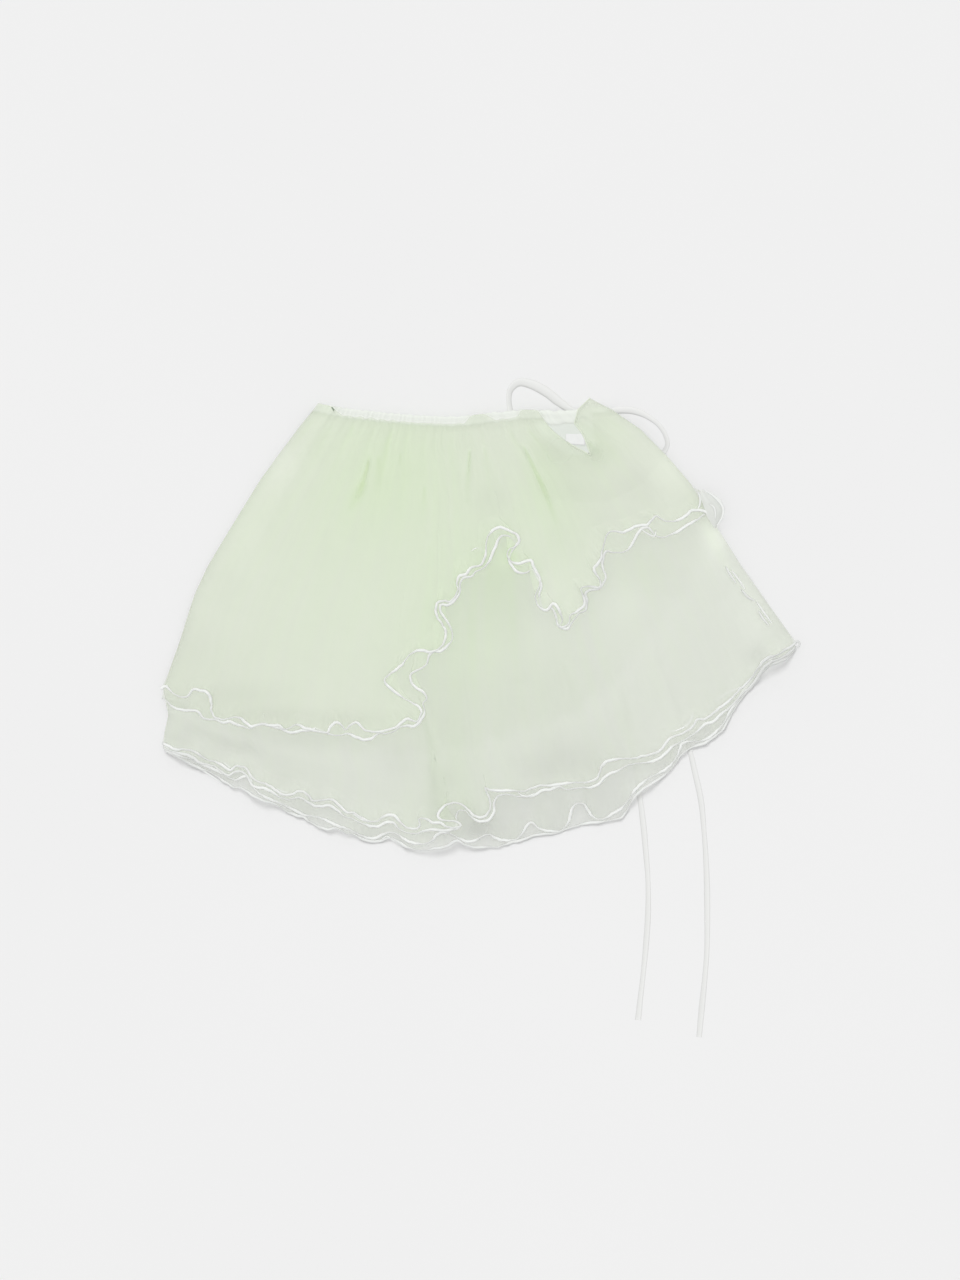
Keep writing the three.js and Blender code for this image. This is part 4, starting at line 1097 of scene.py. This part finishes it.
# The plies from the top down: piece, node, hem, top edge, seed, height of ripples, look.
PLIES = (
    ("outer_face_cloth", "outer_front_face", OUTER_FACE_HEM, front_top_reach, 11, 3.4,
     OUTER_LOOK),
    ("outer_backing_cloth", "outer_front_backing", OUTER_BACKING_HEM, backing_top_reach, 23, 2.6,
     OUTER_LOOK),
    ("under_face_cloth", "under_front_face", UNDER_FACE_HEM, backing_top_reach, 37, 3.0,
     UNDER_LOOK),
    ("under_backing_cloth", "under_front_backing", UNDER_BACKING_HEM, backing_top_reach, 41, 2.4,
     UNDER_LOOK),
    ("back_backing_cloth", "under_back_backing", BACK_FACE_HEM, waist_reach, 53, 3.0, BACK_LOOK),
    ("back_face_cloth", "under_back_face", BACK_BACKING_HEM, waist_reach, 61, 2.2, BACK_LOOK),
    ("hidden_backing_cloth", "outer_back_backing", hidden_hem(less=3, phase=0.35), waist_reach,
     71, 0.4, HIDDEN_LOOK),
    ("hidden_face_cloth", "outer_back_face", hidden_hem(less=0, phase=0.1), waist_reach,
     83, 0.4, HIDDEN_LOOK),
)
grids = []
for order, ply in enumerate(PLIES):
    below = tuple(row[0] for row in PLIES[order + 1:order + 2])
    grids.append(build_ply(*ply, len(PLIES) - 1 - order, below))
outer_face_grid = grids[0]

# The strip's section from its upper edge to its lower edge: along its depth, up its height.
BAND_SECTION = (
    (-0.02, 0.50), (0.02, 0.80), (0.10, 0.94), (0.25, 1.00), (0.42, 0.96), (0.58, 0.97),
    (0.75, 1.00), (0.90, 0.94), (0.98, 0.80), (1.02, 0.50), (0.94, 0.12), (0.50, 0.0),
    (0.06, 0.12),
)
# Where the inner band shows deeper, in the opening: from and to across.
OPENING_ACROSS = (536, 584)
FRONT_BAND_HIGH = 5.4
BAND_STEPS = 420


def band_heights(front, share, across, down):
    """The underside and the top of the front strip or the back strip."""
    lift = tape_lift(across, down)
    middle = stack_height(FRONT_START, share) + lift
    if front:
        return middle, middle + FRONT_BAND_HIGH
    return lift, middle - SEAM_GAP


def band_piece(name, front, start, end, ruche, deeper, seed):
    """The gathered casing over the elastic: a closed strip with uneven puckers."""
    shares = np.linspace(start, end, int((end - start) * BAND_STEPS))
    line = reach_of(WAIST, shares) - BAND_TOP
    waist_across, _ = place(shares, line)
    pucker = sines(shares, 7, 24, 70, seed)
    edge_wave = sines(shares, 6, 14, 44, seed + 5)
    left, right = OPENING_ACROSS
    in_opening = smooth((waist_across - left) / 8) * smooth((right - waist_across) / 8)
    depth = BAND_DEPTH + deeper * in_opening
    rings = []
    for along, up in BAND_SECTION:
        sway = (0.5 - along) * -1.3 * edge_wave
        across, down = place(shares, line + depth * along + sway)
        low, high = band_heights(front, shares, across, down)
        bulge = clamp(1 - (2 * along - 1) ** 2)
        fall = ruche * bulge * (pucker - 0.4) * (up > 0.6)
        rings.append(scene_point(across, down, between(low, high, up) + fall))
    covered = hump_part(shares) * front
    # Painted light and shade on the puckers, and darker where the edge wave is below zero.
    ruffle = 1 + 0.016 * pucker - 0.030 * clamp(-edge_wave, 0, 1)
    sides = len(BAND_SECTION)
    faces = grid_faces(len(shares), sides, closed=True) + end_caps(len(shares), sides)
    band = mesh_piece(
        name, np.stack(rings, axis=1), faces, BAND_CLOTH,
        tint=np.repeat(0.04 * covered, sides),
        shade=np.repeat(ruffle * (1 - 0.09 * covered), sides),
    )
    band.visible_shadow = False
    return band


# Short turns of the hems and small ridges: layer, height over it, radius, lightness, points.
HEM_TURNS = (
    (7, 0.9, 1.0, 0.97, ((697, 492), (699, 498), (699, 505), (696, 511))),
    (7, 3.0, 1.3, 0.98, ((703, 491), (710, 495), (717, 501), (722, 509), (721, 518), (716, 526))),
    (7, 4.0, 0.8, 0.99, ((708, 505), (712, 507), (714, 512), (714, 519))),
    (7, 0.5, 0.6, 0.96, ((471, 552), (475, 549), (480, 549), (483, 552))),
    (7, 0.5, 0.8, 0.96, ((640, 530), (646, 534), (653, 537), (655, 531))),
    (5, 0.6, 0.9, 0.98, ((167, 748), (172, 750), (177, 752))),
    (5, 0.6, 0.9, 0.99, ((224, 761), (228, 765), (234, 769))),
    (5, 0.6, 0.9, 0.99, ((277, 788), (283, 791), (289, 792))),
    (5, 0.6, 0.9, 1.0, ((352, 811), (356, 815), (362, 819), (370, 821), (378, 820))),
    (5, 0.6, 0.9, 1.0, ((446, 826), (452, 829), (458, 828), (461, 825))),
    (5, 0.6, 0.9, 0.99, ((518, 792), (522, 795), (528, 796), (534, 793))),
    (5, 0.6, 0.9, 0.99, ((670, 731), (676, 730), (683, 727), (689, 722), (693, 712))),
    (5, 0.6, 0.8, 0.97, ((714, 701), (720, 697), (728, 692), (740, 687))),
    (5, 0.6, 1.1, 0.84, ((781, 649), (787, 648), (792, 645), (797, 641), (799, 645), (794, 650))),
    (5, 0.5, 1.1, 0.92, ((725, 567), (729, 574), (735, 583))),
    (5, 0.5, 1.2, 0.88, ((741, 590), (747, 597), (754, 601))),
    (5, 0.5, 1.1, 0.92, ((758, 611), (762, 618), (768, 625))),
    (5, 0.5, 1.0, 0.98, ((731, 571), (738, 580), (744, 589))),
    (5, 0.5, 1.0, 0.98, ((756, 602), (763, 612), (771, 623))),
    (3, 0.8, 0.9, 1.0, ((382, 839), (387, 836), (393, 840), (404, 846), (414, 847), (426, 845))),
    (3, 0.8, 0.9, 0.99, ((188, 765), (200, 769), (212, 776), (222, 783))),
)


def hem_turns_piece(name, layers):
    """The short turns of one tier as one piece of rolled thread."""
    parts = []
    for index, (layer, above, radius, light, points) in enumerate(HEM_TURNS):
        if layer not in layers:
            continue
        line = spline(points, TURN_SPACING)
        height = layer_rise(layer, line[:, 0], line[:, 1]) + above
        along = np.linspace(0, 1, len(line))
        thick = radius * (0.45 + 0.55 * np.sin(math.pi * np.clip(along, 0.06, 0.94)))
        spots = scene_point(line[:, 0], line[:, 1], np.maximum(height, thick))
        parts.append(tube_piece(
            name + str(index), spots, thick * MM, EDGE_THREAD, np.full(len(line), light),
        ))
    with bpy.context.temp_override(active_object=parts[0], selected_editable_objects=parts):
        bpy.ops.object.join()
    parts[0].name = name
    return parts[0]


attach(hem_turns_piece("hem_turns_outer", (OUTER_FACE,)), "outer_cloth")
attach(hem_turns_piece("hem_turns_under", (UNDER_FACE, BACK_TOP)), "under_cloth")


# The turned end of the outer hem: its inner line and its outer line.
CURL_INNER = ((699, 491), (700, 499), (703, 508), (706, 517), (711, 525), (714, 529))
CURL_OUTER = ((702, 490), (710, 495), (718, 502), (723, 511), (721, 519), (715, 528))
# The facing inside the back, seen in the opening: its upper line and its lower line.
FACING_UPPER = ((532, 420), (545, 422), (560, 424), (575, 424), (592, 421))
FACING_LOWER = ((540, 436), (553, 446), (566, 454), (580, 456), (596, 450))
PATCH_ROWS = 14
PATCH_COLUMNS = 28


def patch_piece(name, first, second, layer, above, bulge, crease, material):
    """A small piece of cloth between two lines, laid on a layer and rolled by the bulge, with
    painted shade along its middle.
    """
    picks = np.linspace(0, 1, PATCH_COLUMNS)
    lines = []
    for points in (first, second):
        line = spline(points, TURN_SPACING)
        marks = np.linspace(0, 1, len(line))
        lines.append(np.column_stack([np.interp(picks, marks, line[:, axis]) for axis in (0, 1)]))
    rows, shades = [], []
    for part in np.linspace(0, 1, PATCH_ROWS):
        spot = between(lines[0], lines[1], part)
        height = layer_rise(layer, spot[:, 0], spot[:, 1]) + above
        roll = math.sin(math.pi * min(1, part + 0.12)) * np.sin(math.pi * picks) ** 0.5
        rows.append(scene_point(spot[:, 0], spot[:, 1], height + bulge * roll))
        # Painted shade along the middle of the patch.
        dip = math.exp(-((part - 0.52) / 0.09) ** 2)
        shades.append(np.full(PATCH_COLUMNS, 1 - crease * dip))
    points = np.stack(rows)
    patch = mesh_piece(
        name, points, grid_faces(PATCH_ROWS, PATCH_COLUMNS), material,
        tint=np.zeros((PATCH_ROWS, PATCH_COLUMNS)), shade=np.stack(shades),
    )
    patch.visible_shadow = False
    return patch


curl = patch_piece(
    "hem_curl", CURL_INNER, CURL_OUTER, OUTER_FACE, above=0.6, bulge=3.0, crease=0.07,
    material=CURL_CLOTH,
)
attach(curl, "outer_cloth")
facing = patch_piece(
    "opening_facing", FACING_UPPER, FACING_LOWER, BACK_TOP, above=0.8, bulge=0, crease=0.01,
    material=FACING_CLOTH,
)
attach(facing, "under_cloth")

TACK_LINE = ((332.6, 408.6), (334.0, 410.4), (334.8, 412.0))
TACK_RADIUS = 0.6


def tack_piece():
    """A tiny dark thread tack at the left end of the waist."""
    spots = spline(TACK_LINE, spacing=0.5)
    height = layer_rise(OUTER_FACE, spots[:, 0], spots[:, 1]) + OVER_BAND + TACK_RADIUS / 2
    line = scene_point(spots[:, 0], spots[:, 1], height)
    flat = np.ones(len(line))
    return tube_piece("thread_tack", line, TACK_RADIUS * MM * flat, TACK, flat)


tack = tack_piece()
tack.visible_shadow = True
attach(tack, "waist_elastic")

front_band = band_piece(
    "waistband_front_casing", front=True, start=0.001, end=EVEN_END, ruche=0.36, deeper=0,
    seed=7,
)
attach(front_band, "waist_elastic", "waistband_front")
back_band = band_piece(
    "waistband_back_casing", front=False, start=0, end=1, ruche=0.22, deeper=8.5, seed=13,
)
attach(back_band, "waist_elastic", "waistband_back")

EDGE_RADIUS = 0.55
EDGE_LIGHT = 0.89


def opening_edge_piece():
    """The narrow rolled edge of the front's face along the opening and the flap."""
    first = int(np.argmax(outer_face_grid["edge_share"] > EVEN_END + 0.004))
    line = scene_point(*(outer_face_grid[key][0, first:] for key in ("across", "down", "height")))
    flat = np.ones(len(line))
    return tube_piece(
        "opening_rolled_edge", line, EDGE_RADIUS * MM * flat, OUTER_EDGE, EDGE_LIGHT * flat,
    )


attach(opening_edge_piece(), "outer_cloth")

# The label's corner, its size, the slant of its lower edge.
LABEL_AT = (565.3, 434.6)
LABEL_SIZE = (19.4, 10.2)
LABEL_SLANT = 1.4
LABEL_THICK = 0.5
LABEL_CLEAR = 0.4


def label_piece():
    """A small bare label sewn down at its top edge, its lower edge curling a little."""
    rows, columns = 10, 16
    below = np.linspace(0, 1, rows)[:, None]
    right = np.linspace(0, 1, columns)[None, :]
    across = LABEL_AT[0] + LABEL_SIZE[0] * right + 0 * below
    down = LABEL_AT[1] + (LABEL_SIZE[1] + LABEL_SLANT * right) * below
    curl = 0.5 * below ** 2 + 0.15 * np.sin(7 * right)
    height = layer_rise(BACK_TOP, across, down) + WALL / 2 + LABEL_CLEAR + curl
    points = np.stack([
        scene_point(across, down, height), scene_point(across, down, height + LABEL_THICK),
    ])
    count = rows * columns
    lower = grid_faces(rows, columns)
    upper = [tuple(count + spot for spot in face[::-1]) for face in lower]
    rim = list(range(columns))
    rim += [row * columns + columns - 1 for row in range(1, rows)]
    rim += [(rows - 1) * columns + column for column in range(columns - 2, -1, -1)]
    rim += [row * columns for row in range(rows - 2, 0, -1)]
    walls = []
    for here, after in zip(rim, rim[1:] + rim[:1]):
        walls.append((here, after, count + after, count + here))
    piece = mesh_piece("label_plain", points, lower + upper + walls, LABEL_CLOTH)
    piece.visible_shadow = False
    return piece


attach(label_piece(), "label", "waist_label")

# Floor and light.
FLOOR_HALF = 3
FLOOR_DROP = 0.0002
SKY_STRENGTH = 0.70
SUN_STRENGTH = 1.15
SUN_SPREAD = 28
SUN_FROM = (-0.22, 0.62, 1.0)

floor_mesh = bpy.data.meshes.new("floor")
corners = [(-FLOOR_HALF, -FLOOR_HALF, 0), (FLOOR_HALF, -FLOOR_HALF, 0)]
corners += [(FLOOR_HALF, FLOOR_HALF, 0), (-FLOOR_HALF, FLOOR_HALF, 0)]
floor_mesh.from_pydata(corners, [], [(0, 1, 2, 3)])
floor_mesh.materials.append(FLOOR)
floor = new_object("floor", floor_mesh)
floor.location.z = -FLOOR_DROP

world = bpy.data.worlds.new("world")
world.use_nodes = True
background = world.node_tree.nodes["Background"]
background.inputs["Color"].default_value = (1, 1, 1, 1)
background.inputs["Strength"].default_value = SKY_STRENGTH
bpy.context.scene.world = world

sun_data = bpy.data.lights.new("studio_light", "SUN")
sun_data.energy = SUN_STRENGTH
sun_data.angle = math.radians(SUN_SPREAD)
sun = new_object("studio_light", sun_data)
sun.rotation_euler = Vector(SUN_FROM).to_track_quat("Z", "Y").to_euler()

bpy.context.scene.view_settings.view_transform = "Standard"
bpy.context.scene.cycles.transparent_max_bounces = 48
bpy.context.scene.cycles.max_bounces = 8
bpy.context.scene.cycles.diffuse_bounces = 3
